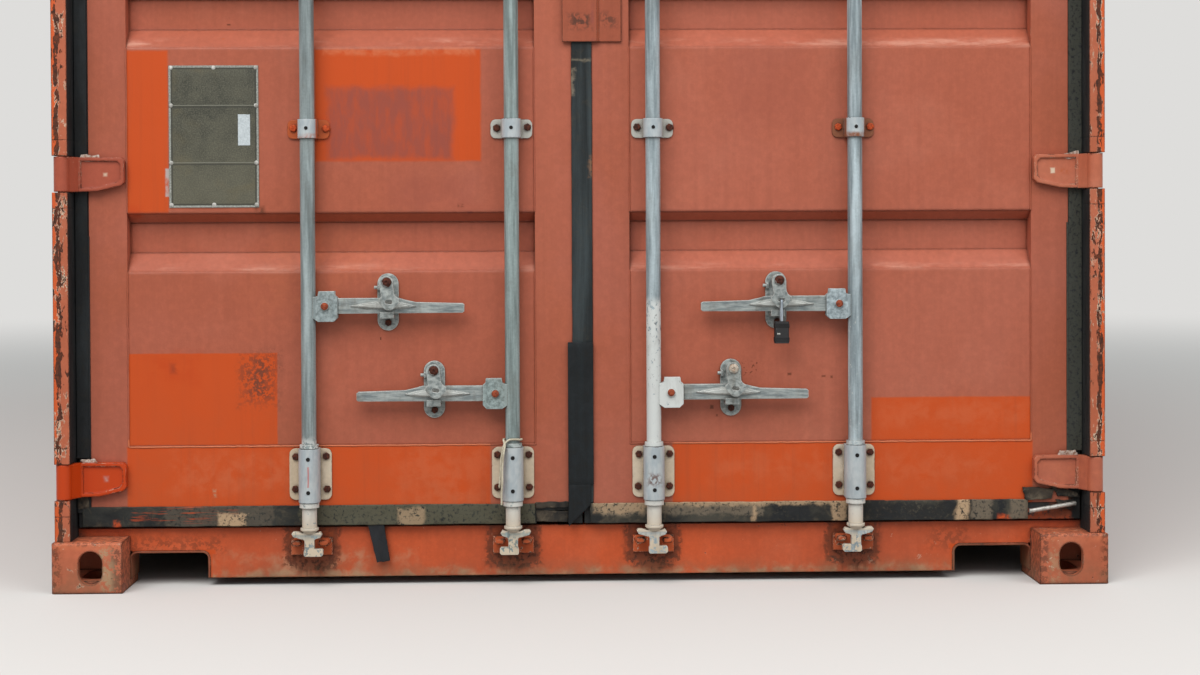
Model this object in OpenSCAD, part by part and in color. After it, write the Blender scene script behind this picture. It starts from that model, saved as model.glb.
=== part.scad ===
// Twenty-foot dry freight container with a pair of hinged end doors.
// The origin is the centre of the footprint on the ground. The door end faces -Y.
// A recess is a depth measured inward from the plane of the door-end castings.

/* [Overall size] */
// Length over the corner castings
container_length = 6058; // [5950:1:6200]
// Width over the corner castings
container_width = 2438; // [2420:1:2500]
// Height over the corner castings
container_height = 2591; // [2560:1:2900]

/* [Corner castings] */
// Length of a casting, along the container
casting_length = 178; // [175:1:190]
// Width of a casting, across the container
casting_width = 162; // [158:1:170]
// Height of a casting
casting_height = 118; // [115:1:125]
// Size of the bevel round a casting's edges
casting_bevel = 6; // [3:0.5:8]
// Thickness of the casting's upright walls
casting_wall = 14; // [10:1:18]
// Thickness of the plate that holds the lock slot
casting_base = 28; // [24:1:32]
// Thickness of the plate on the other side of the cavity
casting_crown = 14; // [10:1:20]
// Length of the lock slot
slot_length = 124; // [118:0.5:128]
// Width of the lock slot
slot_width = 63.5; // [58:0.5:66]
// Distance from the end face to the slot's centre
slot_from_end = 102.5; // [98:0.5:104]
// Distance from the side face to the slot's centre
slot_from_side = 89.5; // [86:0.5:92]
// Width of the upright hole in the end face
end_hole_width = 54; // [50:1:64]
// Height of the upright hole in the end face
end_hole_height = 77; // [70:1:80]
// Length of the level hole in the side face
side_hole_length = 80; // [72:1:84]
// Height of the level hole in the side face
side_hole_height = 52; // [46:1:58]

/* [Posts and rails] */
// Set-back of posts and rails from the casting faces
frame_inset = 8; // [4:0.5:9]
// Set-back of the door posts' front face
post_recess = 8; // [5:1:11]
// Width of the door post's front strip
post_width = 35; // [32:1:40]
// Plate thickness of the posts
post_wall = 6; // [4:0.5:8]
// Extra width of the post behind the door
post_flange = 8; // [6:1:12]
// Set-back of the door sill and header
sill_recess = 90; // [88:1:96]
// Height of the sill's underside above the ground
sill_clearance = 19; // [14:1:24]
// Rise of the sill above the castings
sill_rise = 18; // [16:1:26]
// Height of the door header, down from the top
header_height = 124; // [121:1:136]
// Height of the stop behind the doors, above the sill
sill_stop = 32; // [22:1:40]
// Depth of the stop behind the doors, below the header
header_stop = 18; // [12:1:24]
// Plate thickness of sill, header and end rails
sill_plate = 5; // [4:0.5:7]
// Width of the recess in the sill beside each casting
cutout_width = 178; // [150:1:190]
// Height of that recess above the ground
cutout_height = 78; // [70:1:84]
// Corner radius of that recess
cutout_radius = 14; // [8:1:20]
// Height of the bottom rails' underside above the ground
rail_clearance = 15; // [13:1:20]
// Plate thickness of the bottom side rails
rail_plate = 5; // [4:0.5:6]
// Width of the bottom side rails' flanges
rail_flange = 46; // [40:1:50]
// Outer size of the square top side rails
top_rail_size = 60; // [54:1:66]
// Wall thickness of the top side rails
top_rail_wall = 3; // [2.5:0.5:5]
// Set-back of the roof rails below the castings' tops
roof_inset = 6; // [5:0.5:10]
// Width of the front posts
front_post_width = 70; // [60:1:80]
// Depth of the front posts and end rails
front_post_depth = 60; // [54:1:66]

/* [Walls, roof and floor] */
// Thickness of the wall and roof sheets
sheet = 2; // [1.6:0.1:3]
// Depth of the side wall corrugation
side_depth = 36; // [30:1:38]
// Pitch of the side wall corrugation
side_pitch = 278; // [250:1:300]
// Width of the side wall's outer and inner flats
side_flat = 71; // [60:1:80]
// Depth of the front wall corrugation
front_depth = 45; // [36:1:48]
// Pitch of the front wall corrugation
front_pitch = 250; // [220:1:270]
// Width of the front wall's flats
front_flat = 104; // [90:1:108]
// Depth of the roof's cross ribs
roof_depth = 20; // [14:1:24]
// Pitch of the roof's cross ribs
roof_pitch = 209; // [190:1:230]
// Width of the roof ribs' flats
roof_flat = 62; // [50:1:70]
// Height of the floor's top above the ground
floor_top = 170; // [165:1:175]
// Thickness of the floor boards
floor_thickness = 28; // [25:1:32]
// Spacing wanted between the cross members
member_pitch = 320; // [280:5:400]
// Flange width of the cross members
member_flange = 45; // [38:1:50]
// Plate thickness of the cross members
member_plate = 4; // [3:0.5:5]
// Width of a fork pocket
fork_width = 355; // [345:1:370]
// Height of a fork pocket's roof above the ground
fork_height = 134; // [125:1:138]
// Distance between the fork pockets' centres
fork_spacing = 2050; // [1900:5:2100]
// Plate thickness of the fork pockets
fork_plate = 6; // [4:0.5:8]

/* [Doors] */
// Set-back of the doors' outer faces
door_recess = 75; // [73:1:78]
// Depth of the door frames
door_depth = 50; // [45:1:54]
// Gap between a door and the sill or header
gasket_gap = 45; // [38:1:50]
// Gap between a door and its post
side_gap = 33; // [31:1:38]
// Gap between the two doors
centre_gap = 47; // [40:1:54]
// Width of the hinge-side upright
hinge_stile = 88; // [75:1:95]
// Width of the meeting upright
inner_stile = 87; // [75:1:95]
// Height of the door's bottom and top rails
door_rail = 146; // [130:1:160]
// Wall thickness of the door frame sections
door_wall = 3; // [2.5:0.5:5]
// Depth of the level grooves in the door panel
groove_depth = 36; // [28:1:40]
// Height of the first groove above the door's foot
groove_first = 552; // [520:1:580]
// Distance from one groove to the next
groove_pitch = 520; // [480:1:530]
// Height of the groove's lower slope
groove_lower = 45; // [30:1:55]
// Height of the groove's floor
groove_floor = 69; // [50:1:80]
// Height of the groove's upper slope
groove_upper = 23; // [15:1:40]
// Number of grooves in each door
groove_count = 3; // [1:1:3]
// Gap between the door seals and what they meet
seal_clearance = 5; // [4:0.5:8]
// Set-back of the seal's lip behind the door face
seal_step = 2; // [1:0.5:4]
// Thickness of the seal's lips
seal_lip = 6; // [4:0.5:9]
// Thickness of the seal's web along the door's edge
seal_web = 9; // [6:0.5:12]

/* [Hinges] */
// Height of the lowest hinge's middle above the door's foot
hinge_first = 73; // [68:1:90]
// Distance from an end hinge to the next one
hinge_pitch = 706; // [640:1:740]
// Height of a hinge leaf
hinge_height = 80; // [70:1:90]
// Diameter of the hinge knuckle
knuckle_diameter = 35; // [30:1:36]
// Diameter of the hinge pin
pin_diameter = 14; // [10:0.5:16]
// Gap round the hinge pin
pin_clearance = 0.25; // [0.2:0.05:0.4]
// Distance from the post's outer face to the pin
pin_from_side = 18; // [17:0.5:19]
// Set-back of the pin
pin_recess = 26; // [25:0.5:28]
// Plate thickness of the hinge leaf
leaf_plate = 14; // [8:0.5:16]
// Height of the raised rims of the hinge leaf
leaf_rim = 4.5; // [3:0.5:10]
// Distance from the pin to the leaf's far end
leaf_reach = 135; // [120:1:145]
// Height of the lugs above and below a knuckle
lug_height = 36; // [28:1:38]
// Gap above and below a knuckle
lug_clearance = 2; // [1:0.5:4]

/* [Locking bars] */
// Diameter of the locking bars
bar_diameter = 34; // [30:0.5:36]
// Set-back of the bars' middle
bar_recess = 43; // [42:0.5:44]
// Gap round a bar in its brackets
bar_clearance = 0.5; // [0.3:0.1:0.8]
// Distance from the door's meeting edge to the inner bar
inner_bar = 140.5; // [130:0.5:150]
// Distance from the door's meeting edge to the outer bar
outer_bar = 611; // [590:0.5:640]
// Height of the cam's lower end below the sill's top
cam_drop = 61; // [58:1:64]
// Thickness of the cams
cam_thickness = 18; // [14:0.5:20]
// Reach of the cam's long horn
horn_reach = 41; // [34:0.5:42]
// Height of the keeper lugs
keeper_height = 14; // [10:0.5:15]
// Gap between a cam and its keeper
keeper_clearance = 5; // [4:0.5:7]
// Thickness of the keeper's base plate
keeper_plate = 6; // [4:0.5:7]
// Width of the bearing brackets
bearing_width = 98; // [90:1:110]
// Height of the bearing brackets
bearing_height = 120; // [100:1:130]
// Height of a bearing bracket's middle above the door's foot
bearing_middle = 81; // [75:1:90]
// Outer diameter of the bearing housing
bearing_diameter = 49; // [46:0.5:54]
// Width of the guide straps
guide_width = 97; // [90:1:110]
// Height of the guide straps
guide_height = 44; // [30:1:50]
// Thickness of the brackets' plates and straps
bracket_plate = 5; // [4:0.5:7]
// Height of the lower guide's middle above the door's foot
guide_lower = 882; // [860:1:900]
// Height of the upper guide's middle above the door's foot
guide_upper = 1500; // [1480:1:1540]

/* [Handles] */
// Height of the outer handle above the door's foot
outer_handle = 472; // [450:1:480]
// Height of the inner handle above the door's foot
inner_handle = 268; // [250:1:290]
// Distance from the bar's middle to the handle's pivot
handle_pivot = 39.5; // [38:0.5:42]
// Distance from the bar's middle to the handle's tip
handle_reach = 360; // [320:1:380]
// Thickness of the handles
handle_plate = 12; // [10:0.5:13]
// Height of the hub plates
hub_height = 70; // [60:1:76]
// Distance from the bar's middle to the hub's edge
hub_reach = 68.5; // [64:0.5:74]
// Thickness of the hub plates
hub_plate = 6; // [4:0.5:7]
// Diameter of the handle's pivot pin
pivot_diameter = 12; // [10:0.5:14]

/* [Handle catches] */
// Distance from the bar's middle to the catch
catch_distance = 182; // [160:1:200]
// Width of the catch plate
catch_width = 49; // [44:1:54]
// Height of the catch plate
catch_height = 133; // [125:1:136]
// Height of the catch's middle above the handle's pivot
catch_rise = 8.5; // [6:0.5:11]
// Distance between the catch's bolts
catch_bolts = 92; // [88:1:96]
// Set-back of the swinging latch's front
latch_recess = 11; // [10:0.5:12]
// Thickness of the swinging latch
latch_plate = 6; // [4:0.5:6.5]

/* [Padlock] */
// Width of the padlock's body
lock_width = 33; // [28:0.5:38]
// Height of the padlock's body
lock_height = 50; // [40:0.5:56]
// Thickness of the shackle
shackle_diameter = 6; // [5:0.5:6.5]
// Distance between the shackle's legs
shackle_spacing = 15; // [14:0.5:15.5]
// Distance from the shackle's crown to the body
shackle_drop = 50; // [40:0.5:56]

/* [Plates] */
// Width of the overlap plate at the meeting edges
overlap_width = 138; // [120:1:150]
// Height of the overlap plate
overlap_height = 200; // [150:1:220]
// Reach of the overlap plate over the left door's side of the middle
overlap_reach = 45; // [38:1:50]
// Height of its lower edge above the door's foot
overlap_bottom = 1084; // [1070:1:1100]
// Distance from the data plate to the outer bar's bearing bracket
data_from_bracket = 66.5; // [50:0.5:80]
// Height of the data plate
data_height = 329; // [300:1:340]
// Distance from the hinge-side upright to the data plate
data_from_stile = 98; // [90:1:110]
// Height of the data plate's lower edge above the door's foot
data_bottom = 702; // [695:1:715]
// Thickness of the overlap and data plates
thin_plate = 2; // [1.5:0.5:3]

/* [Hidden] */
$fn = 48;

salmon = [0.70, 0.36, 0.29];
fresh_orange = [0.80, 0.30, 0.13];
seal_black = [0.07, 0.08, 0.08];
galvanised = [0.62, 0.67, 0.68];
cream_white = [0.78, 0.77, 0.72];
plate_olive = [0.27, 0.28, 0.24];
board_brown = [0.40, 0.27, 0.17];
rope_white = [0.80, 0.78, 0.70];

cut = 1; // overlap of a cutter past the face that it opens
half_width = container_width / 2;
half_length = container_length / 2;
frame_out = half_width - frame_inset;
mid_height = container_height / 2;
end_y = -half_length;

sill_top = casting_height + sill_rise;
header_foot = container_height - header_height;
door_foot = sill_top + gasket_gap;
door_head = header_foot - gasket_gap;
door_middle = (door_foot + door_head) / 2;
post_in = frame_out - post_width;
leaf_out = post_in - side_gap;
leaf_in = centre_gap / 2;
leaf_width = leaf_out - leaf_in;
face_y = end_y + door_recess;
door_back = door_recess + door_depth;
stop_recess = door_back + 8;

pin_x = frame_out - pin_from_side;
pin_y = end_y + pin_recess;
hinge_rows = [
    door_foot + hinge_first, door_foot + hinge_first + hinge_pitch,
    door_head - hinge_first - hinge_pitch, door_head - hinge_first
];

bar_y = end_y + bar_recess;
bar_radius = bar_diameter / 2;
cam_foot = sill_top - cam_drop;
foot_height = 17;
neck_height = keeper_height + 2 * keeper_clearance;
horn_height = 17;
neck_half = 11;
foot_reach = 31;
short_horn = 29;
cam_top = cam_foot + foot_height + neck_height + horn_height;
outer_bar_x = leaf_in + outer_bar;
inner_bar_x = leaf_in + inner_bar;
outer_handle_z = door_foot + outer_handle;
inner_handle_z = door_foot + inner_handle;

handle_up = 19;
handle_down = 17;
handle_gap = 1; // between the handle and each hub plate
hub_inside = handle_plate / 2 + handle_gap;
hub_outside = hub_inside + hub_plate;
rib_rise = 5.5; // of the handle's rib in front of its plate
latch_drop = 44; // from the latch's pivot down to its hole
latch_lean = 6; // from the latch's pivot across to its hole
hole_length = 17;
hole_width = 9;
hang = hole_width / 2 - shackle_diameter / 2 - 0.2; // of the padlock's crown below the hole's middle
outer_catch_x = outer_bar_x - catch_distance;
inner_catch_x = inner_bar_x + catch_distance;
catch_plate = bracket_plate;
latch_pin = 6;
latch_clearance = 0.3;

wall_start = end_y + casting_length;
wall_run = 2 * abs(wall_start);
wall_foot = floor_top;
wall_head = container_height - roof_inset - top_rail_size;
roof_top = container_height - roof_inset - 2;
member_top = floor_top - floor_thickness;
member_foot = rail_clearance + rail_plate;

// Points of an arc, from one angle to another
function arc(c, r, a, b, n = 5) =
    [for (i = [0:n]) [c[0] + r * cos(a + (b - a) * i / n), c[1] + r * sin(a + (b - a) * i / n)]];

// Outline of a rectangle with round corners, centred on the origin
function rounded(w, h, r, n = 4) = concat(
    arc([w / 2 - r, h / 2 - r], r, 0, 90, n), arc([-w / 2 + r, h / 2 - r], r, 90, 180, n),
    arc([-w / 2 + r, -h / 2 + r], r, 180, 270, n), arc([w / 2 - r, -h / 2 + r], r, 270, 360, n));

function turned(points) = [for (i = [len(points) - 1:-1:0]) points[i]];

// One side of a corrugated sheet: it starts and ends on an outer flat, with the waves centred
function waves(run, pitch, flat, depth) =
    let (slope = pitch / 2 - flat, count = floor((run - flat) / pitch), first = (run - count * pitch) / 2)
    concat([[0, 0]],
        [for (i = [0:count - 1], k = [0:3])
            [first + i * pitch + flat / 2 + [0, slope, slope + flat, 2 * slope + flat][k],
             k == 0 || k == 3 ? 0 : -depth]],
        [[run, 0]]);

// A corrugated sheet's section: the same side twice, a sheet's thickness apart
function sheet_section(side) =
    concat(side, [for (p = turned(side)) [p[0], p[1] - sheet]]);

module both_sides() {
    children();
    mirror([1, 0, 0]) children();
}

module both_heights() {
    children();
    translate([0, 0, 2 * door_middle]) mirror([0, 0, 1]) children();
}

// Draws an outline given in X and Z as a plate that is thick along Y, from y0 on
module upright(y0, thickness) {
    translate([0, y0 + thickness, 0]) rotate([90, 0, 0]) linear_extrude(thickness) children();
}

module box(low, high) {
    translate(low) cube(high - low);
}

// A straight cutter with round ends: its length along X, its depth along Z
module slot_cutter(length, width, depth) {
    for (s = [-1, 1]) translate([s * (length - width) / 2, 0, 0]) cylinder(d = width, h = depth);
    translate([-(length - width) / 2, -width * 0.497, 0]) cube([length - width, width * 0.994, depth]);
}

// A casting's outline seen from the end or the side, with bevels along its outer edges
module bevelled(width) {
    b = casting_bevel;
    polygon([[0, 2], [2, 0], [width, 0], [width, casting_height], [b, casting_height], [b / 3, casting_height - b / 3],
        [0, casting_height - b]]);
}

// A casting for the left bottom corner at the door end, with its outer corner at the origin
module corner_casting() {
    b = casting_bevel;
    difference() {
        intersection() {
            linear_extrude(casting_height) polygon(concat(arc([2 * b, 2 * b], 2 * b, 180, 270),
                [[casting_width, 0], [casting_width, casting_length], [0, casting_length]]));
            upright(0, casting_length) bevelled(casting_width);
            rotate([0, 0, 90]) mirror([0, 1, 0]) upright(0, casting_width) bevelled(casting_length);
        }
        box([casting_wall, casting_wall, casting_base],
            [casting_width - casting_wall, casting_length - casting_wall, casting_height - casting_crown]);
        translate([slot_from_side, slot_from_end, -cut]) rotate([0, 0, 90])
            slot_cutter(slot_length, slot_width, casting_base + 2 * cut);
        translate([slot_from_side, casting_wall + cut, casting_height / 2]) rotate([90, 90, 0])
            slot_cutter(end_hole_height, end_hole_width, casting_wall + 2 * cut);
        translate([-cut, slot_from_end - cut, casting_height / 2]) rotate([0, 90, 0]) rotate([0, 0, 90])
            slot_cutter(side_hole_length, side_hole_height, casting_wall + 2 * cut);
    }
}

module casting_ring() {
    for (mx = [0, 1], my = [0, 1])
        mirror([mx, 0, 0]) mirror([0, my, 0]) translate([-half_width, end_y, 0]) corner_casting();
}

module bottom_castings() color(salmon) casting_ring();

module top_castings() color(salmon)
    translate([0, 0, container_height]) mirror([0, 0, 1]) casting_ring();

// The post's plan, for the right side, in front of and behind the door's edge
module post_plan(inset = 0, from = post_recess) {
    polygon([
        [frame_out - inset, end_y + from + inset], [post_in + inset, end_y + from + inset],
        [post_in + inset, end_y + stop_recess + inset], [post_in - post_flange + inset, end_y + stop_recess + inset],
        [post_in - post_flange + inset, end_y + casting_length - inset],
        [frame_out - inset, end_y + casting_length - inset]
    ]);
}

notch_half = hinge_height / 2 + lug_clearance + lug_height;
notch_recess = pin_recess + knuckle_diameter / 2 + 20;
post_bottom = casting_height;
post_top = container_height - casting_height;

module door_posts() color(salmon) both_sides() difference() {
    translate([0, 0, post_bottom]) linear_extrude(post_top - post_bottom) post_plan();
    translate([0, 0, post_bottom + post_wall]) linear_extrude(post_top - post_bottom - 2 * post_wall)
        post_plan(post_wall, notch_recess);
    for (z = hinge_rows)
        box([post_in - cut, end_y + post_recess - cut, z - notch_half],
            [frame_out + cut, end_y + notch_recess, z + notch_half]);
}

// Two lugs let into the post, with the hinge pin that they hold
module hinge_lugs() color(salmon) both_sides() for (z = hinge_rows) {
    for (s = [-1, 1])
        translate([0, 0, z + s * (notch_half - lug_height / 2) - lug_height / 2])
            box([post_in, end_y + post_recess, 0], [frame_out, end_y + notch_recess, lug_height]);
    translate([pin_x, pin_y, z - notch_half]) cylinder(d = pin_diameter, h = 2 * notch_half);
}

module front_posts() color(salmon) both_sides()
    translate([0, 0, post_bottom]) linear_extrude(post_top - post_bottom) difference() {
        polygon([
            [frame_out, half_length - casting_length], [frame_out, half_length - frame_inset - 10],
            [frame_out - 10, half_length - frame_inset], [frame_out - front_post_width, half_length - frame_inset],
            [frame_out - front_post_width, half_length - frame_inset - front_post_depth],
            [frame_out - 2 * post_wall, half_length - frame_inset - front_post_depth],
            [frame_out - 2 * post_wall, half_length - casting_length]
        ]);
        polygon([
            [frame_out - post_wall, half_length - frame_inset - front_post_depth + post_wall],
            [frame_out - post_wall, half_length - frame_inset - post_wall - 8],
            [frame_out - post_wall - 8, half_length - frame_inset - post_wall],
            [frame_out - front_post_width + post_wall, half_length - frame_inset - post_wall],
            [frame_out - front_post_width + post_wall, half_length - frame_inset - front_post_depth + post_wall]
        ]);
    }

// The recess beside a casting, as an outline in X and Z, grown by the thickness of its lining
module cutout_outline(grow) {
    w = cutout_width + 2 * grow;
    r = cutout_radius + grow;
    top = cutout_height + grow;
    translate([half_width - casting_width - 3 - cutout_width / 2, 0])
        polygon(concat([[w / 2, 0]], arc([w / 2 - r, top - r], r, 0, 90), arc([-w / 2 + r, top - r], r, 90, 180),
            [[-w / 2, 0]]));
}

// The sill's beam between the castings, open below
module door_sill() color(salmon) {
    reach = half_width - casting_width;
    difference() {
        box([-reach, end_y + sill_recess, sill_clearance], [reach, end_y + casting_length, casting_height]);
        box([-reach - cut, end_y + sill_recess + sill_plate, sill_clearance - cut],
            [reach + cut, end_y + casting_length - sill_plate, casting_height - sill_plate]);
        both_sides() upright(end_y + sill_recess - cut, casting_length) cutout_outline(sill_plate);
        both_sides() box([reach - sill_plate, end_y + sill_recess - cut, sill_clearance - cut],
            [reach + cut, end_y + casting_length + cut, cutout_height + sill_plate]);
    }
}

// The sill's raised top, with the stop behind the doors
module sill_cap() color(salmon) {
    box([-post_in, end_y + sill_recess, casting_height], [post_in, end_y + stop_recess, sill_top]);
    box([-post_in + post_flange, end_y + stop_recess, casting_height],
        [post_in - post_flange, end_y + casting_length, sill_top + sill_stop]);
}

module sill_linings() color(salmon) both_sides()
    upright(end_y + sill_recess - 2, casting_length - sill_recess + 2) intersection() {
        difference() {
            cutout_outline(sill_plate);
            cutout_outline(0);
        }
        translate([0, sill_clearance]) square([half_width - casting_width, casting_height]);
    }

module door_header() color(salmon) {
    reach = half_width - casting_width;
    difference() {
        box([-reach, end_y + sill_recess, header_foot], [reach, end_y + casting_length, roof_top]);
        box([-reach - cut, end_y + sill_recess + sill_plate, post_top],
            [reach + cut, end_y + casting_length - sill_plate, roof_top - sill_plate]);
    }
    box([-post_in, end_y + sill_recess, header_foot], [post_in, end_y + stop_recess, post_top]);
    box([-post_in + post_flange, end_y + stop_recess, header_foot - header_stop],
        [post_in - post_flange, end_y + casting_length, post_top]);
}

// Places what it is given at each fork pocket
module at_forks() {
    for (s = [-1, 1]) translate([0, s * fork_spacing / 2, 0]) children();
}

module bottom_side_rail() difference() {
    box([frame_out - rail_flange, -half_length + casting_length, rail_clearance],
        [frame_out, half_length - casting_length, floor_top]);
    box([frame_out - rail_flange - cut, -half_length + casting_length - cut, rail_clearance + rail_plate],
        [frame_out - rail_plate, half_length - casting_length + cut, floor_top - rail_plate]);
    at_forks() box([frame_out - rail_flange - cut, -fork_width / 2, rail_clearance - cut],
        [frame_out + cut, fork_width / 2, fork_height]);
}

module top_side_rail() difference() {
    box([frame_out - top_rail_size, -half_length + casting_length, wall_head],
        [frame_out, half_length - casting_length, wall_head + top_rail_size]);
    box([frame_out - top_rail_size + top_rail_wall, -half_length + casting_length - cut, wall_head + top_rail_wall],
        [frame_out - top_rail_wall, half_length - casting_length + cut, wall_head + top_rail_size - top_rail_wall]);
}

module side_rails() color(salmon) both_sides() {
    bottom_side_rail();
    top_side_rail();
}

front_face = half_length - frame_inset - 3;

// A level tube across the front end, between two heights
module end_tube(z0, z1) {
    reach = half_width - casting_width;
    difference() {
        box([-reach, front_face - front_post_depth, z0], [reach, front_face, z1]);
        box([-reach - cut, front_face - front_post_depth + sill_plate, z0 + sill_plate],
            [reach + cut, front_face - sill_plate, z1 - sill_plate]);
    }
}

module front_rails() color(salmon) {
    reach = frame_out - front_post_width;
    end_tube(sill_clearance, casting_height);
    box([-reach, front_face - front_post_depth, casting_height], [reach, front_face, floor_top]);
    end_tube(post_top, container_height - roof_inset);
    box([-half_width + casting_width, half_length - casting_length, roof_top - sheet],
        [half_width - casting_width, front_face - front_post_depth, roof_top]);
}

module side_wall() {
    translate([frame_out - 2, wall_start, wall_foot]) rotate([0, 0, 90]) linear_extrude(wall_head - wall_foot)
        mirror([0, 1]) polygon(sheet_section(waves(wall_run, side_pitch, side_flat, side_depth)));
}

module side_walls() color(salmon) both_sides() side_wall();

front_run = 2 * (frame_out - front_post_width);

module front_wall() color(salmon)
    translate([-front_run / 2, front_face, floor_top]) linear_extrude(post_top - floor_top)
        polygon(sheet_section(waves(front_run, front_pitch, front_flat, front_depth)));

module roof() color(salmon) {
    half = frame_out - top_rail_size;
    translate([-half, wall_start, roof_top]) rotate([0, 0, 90]) rotate([90, 0, 0])
        linear_extrude(2 * half) polygon(sheet_section(waves(wall_run, roof_pitch, roof_flat, roof_depth)));
}

module floor() color(board_brown)
    box([-frame_out + rail_flange, end_y + casting_length, member_top],
        [frame_out - rail_flange, front_face - front_post_depth, floor_top]);

member_count = floor((container_length - 2 * casting_length - member_pitch) / member_pitch);
function member_place(i) = (i - (member_count - 1) / 2) * member_pitch;
function beside_forks(y) = abs(abs(y) - fork_spacing / 2) > fork_width / 2 + fork_plate + member_flange;

// A channel across the container, its web on the side that faces +Y
module cross_member() {
    reach = frame_out - rail_plate;
    translate([-reach, 0, 0]) rotate([90, 0, 90]) linear_extrude(2 * reach) polygon([
        [member_flange / 2, member_foot], [member_flange / 2, member_top], [-member_flange / 2, member_top],
        [-member_flange / 2, member_top - member_plate],
        [member_flange / 2 - member_plate, member_top - member_plate],
        [member_flange / 2 - member_plate, member_foot + member_plate],
        [-member_flange / 2, member_foot + member_plate], [-member_flange / 2, member_foot]
    ]);
}

// A fork pocket: two upright plates and a roof, with a strap under each end
module fork_pocket() {
    reach = frame_out - rail_plate;
    translate([-reach, 0, 0]) rotate([90, 0, 90]) linear_extrude(2 * reach) polygon([
        [fork_width / 2, member_foot], [fork_width / 2 + fork_plate, member_foot],
        [fork_width / 2 + fork_plate, fork_height + fork_plate], [-fork_width / 2 - fork_plate, fork_height + fork_plate],
        [-fork_width / 2 - fork_plate, member_foot], [-fork_width / 2, member_foot],
        [-fork_width / 2, fork_height], [fork_width / 2, fork_height]
    ]);
    both_sides() box([reach - 200, -fork_width / 2 - fork_plate, member_foot - 4],
        [frame_out - rail_flange, fork_width / 2 + fork_plate, member_foot]);
}

module cross_members() color(salmon) {
    for (i = [0:member_count - 1]) if (beside_forks(member_place(i)))
        translate([0, member_place(i), 0]) cross_member();
    at_forks() fork_pocket();
}

// The lugs on the sill that a cam turns between, for a bar at x
module keeper(x) {
    lug_foot = cam_foot + foot_height + keeper_clearance;
    lug_in = neck_half + keeper_clearance + 3.5;
    box([x - 48, end_y + sill_recess - keeper_plate, cam_foot - 4],
        [x + 48, end_y + sill_recess, lug_foot + keeper_height]);
    lug_y = end_y + bar_recess + 4;
    for (s = [-1, 1]) translate([x + s * (lug_in + 12), 0, lug_foot + keeper_height / 2]) {
        upright(lug_y, 5) polygon(rounded(19, keeper_height - 4, 4.5, 4));
        upright(lug_y + 4, sill_recess - bar_recess - 8) polygon(rounded(24, keeper_height, 6, 4));
    }
}

module cam_keepers() color([0.62, 0.30, 0.16]) both_sides() both_heights() {
    keeper(outer_bar_x);
    keeper(inner_bar_x);
}

// Everything below is made for the right door, and mirrored for the left one
module door_frame() color(salmon) {
    for (x = [[leaf_in, leaf_in + inner_stile], [leaf_out - hinge_stile, leaf_out]]) difference() {
        box([x[0], face_y, door_foot], [x[1], face_y + door_depth, door_head]);
        box([x[0] + door_wall, face_y + door_wall, door_foot - cut],
            [x[1] - door_wall, face_y + door_depth - door_wall, door_head + cut]);
    }
    both_heights() difference() {
        box([leaf_in + inner_stile, face_y, door_foot], [leaf_out - hinge_stile, face_y + door_depth, door_foot + door_rail]);
        box([leaf_in + inner_stile - cut, face_y + door_wall, door_foot + door_wall],
            [leaf_out - hinge_stile + cut, face_y + door_depth + cut, door_foot + door_rail - door_wall]);
    }
}

module door_panel() color(salmon) {
    panel_foot = door_foot + door_rail;
    panel_head = door_head - door_rail;
    side = concat([[panel_foot, 0]],
        [for (i = [0:groove_count - 1], k = [0:3])
            [door_foot + groove_first + i * groove_pitch
                + [0, groove_lower, groove_lower + groove_floor, groove_lower + groove_floor + groove_upper][k],
             k == 0 || k == 3 ? 0 : groove_depth]],
        [[panel_head, 0]]);
    section = concat(side, [for (p = turned(side)) [p[0], p[1] + sheet]]);
    translate([leaf_in + inner_stile, face_y, 0]) rotate([0, 0, 0]) rotate([0, -90, 0]) mirror([0, 0, 1])
        linear_extrude(leaf_width - inner_stile - hinge_stile) polygon(section);
}

// A frame round the leaf that reaches the given distances from it, between two depths
module seal_frame(reach_side, reach_centre, reach_ends, from, to) {
    difference() {
        box([leaf_in - reach_centre, face_y + from, door_foot - reach_ends],
            [leaf_out + reach_side, face_y + to, door_head + reach_ends]);
        box([leaf_in, face_y + from - cut, door_foot], [leaf_out, face_y + to + cut, door_head]);
    }
}

module door_seal() color(seal_black) {
    side = side_gap - seal_clearance;
    centre = centre_gap / 2 - seal_clearance / 2;
    ends = gasket_gap - seal_clearance;
    rear = door_depth - seal_step;
    seal_frame(side, centre, ends, seal_step, seal_step + seal_lip);
    seal_frame(seal_web, seal_web, seal_web, seal_step, rear);
    seal_frame(side, centre, ends, rear - seal_lip, rear);
}

// A hinge leaf with its middle at height zero, drawn in plan and trimmed to its front outline
module hinge_leaf() {
    leaf_x = pin_x - leaf_reach;
    neck_x = post_in - 15;
    leaf_y = face_y - leaf_plate;
    rim_y = leaf_y - leaf_rim;
    half = hinge_height / 2;
    difference() {
        union() {
            translate([pin_x, pin_y, -half]) cylinder(d = knuckle_diameter, h = hinge_height);
            translate([0, 0, -half]) linear_extrude(hinge_height) polygon([
                [pin_x - 2, pin_y - 11], [post_in + 1, pin_y - 2], [neck_x, rim_y],
                [neck_x, face_y], [post_in - 11, face_y], [post_in - 5, pin_y + 36], [pin_x - 2, pin_y + 15]
            ]);
            intersection() {
                box([leaf_x, rim_y, -half], [neck_x, face_y, half]);
                upright(rim_y - cut, 60) hinge_outline(0);
            }
        }
        intersection() {
            upright(rim_y - cut, leaf_rim + cut) hinge_outline(8);
            box([leaf_x - cut, rim_y - cut, -half], [neck_x - 4, leaf_y, half]);
        }
        translate([pin_x, pin_y, -half - cut]) cylinder(d = pin_diameter + 2 * pin_clearance, h = hinge_height + 2 * cut);
    }
}

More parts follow.
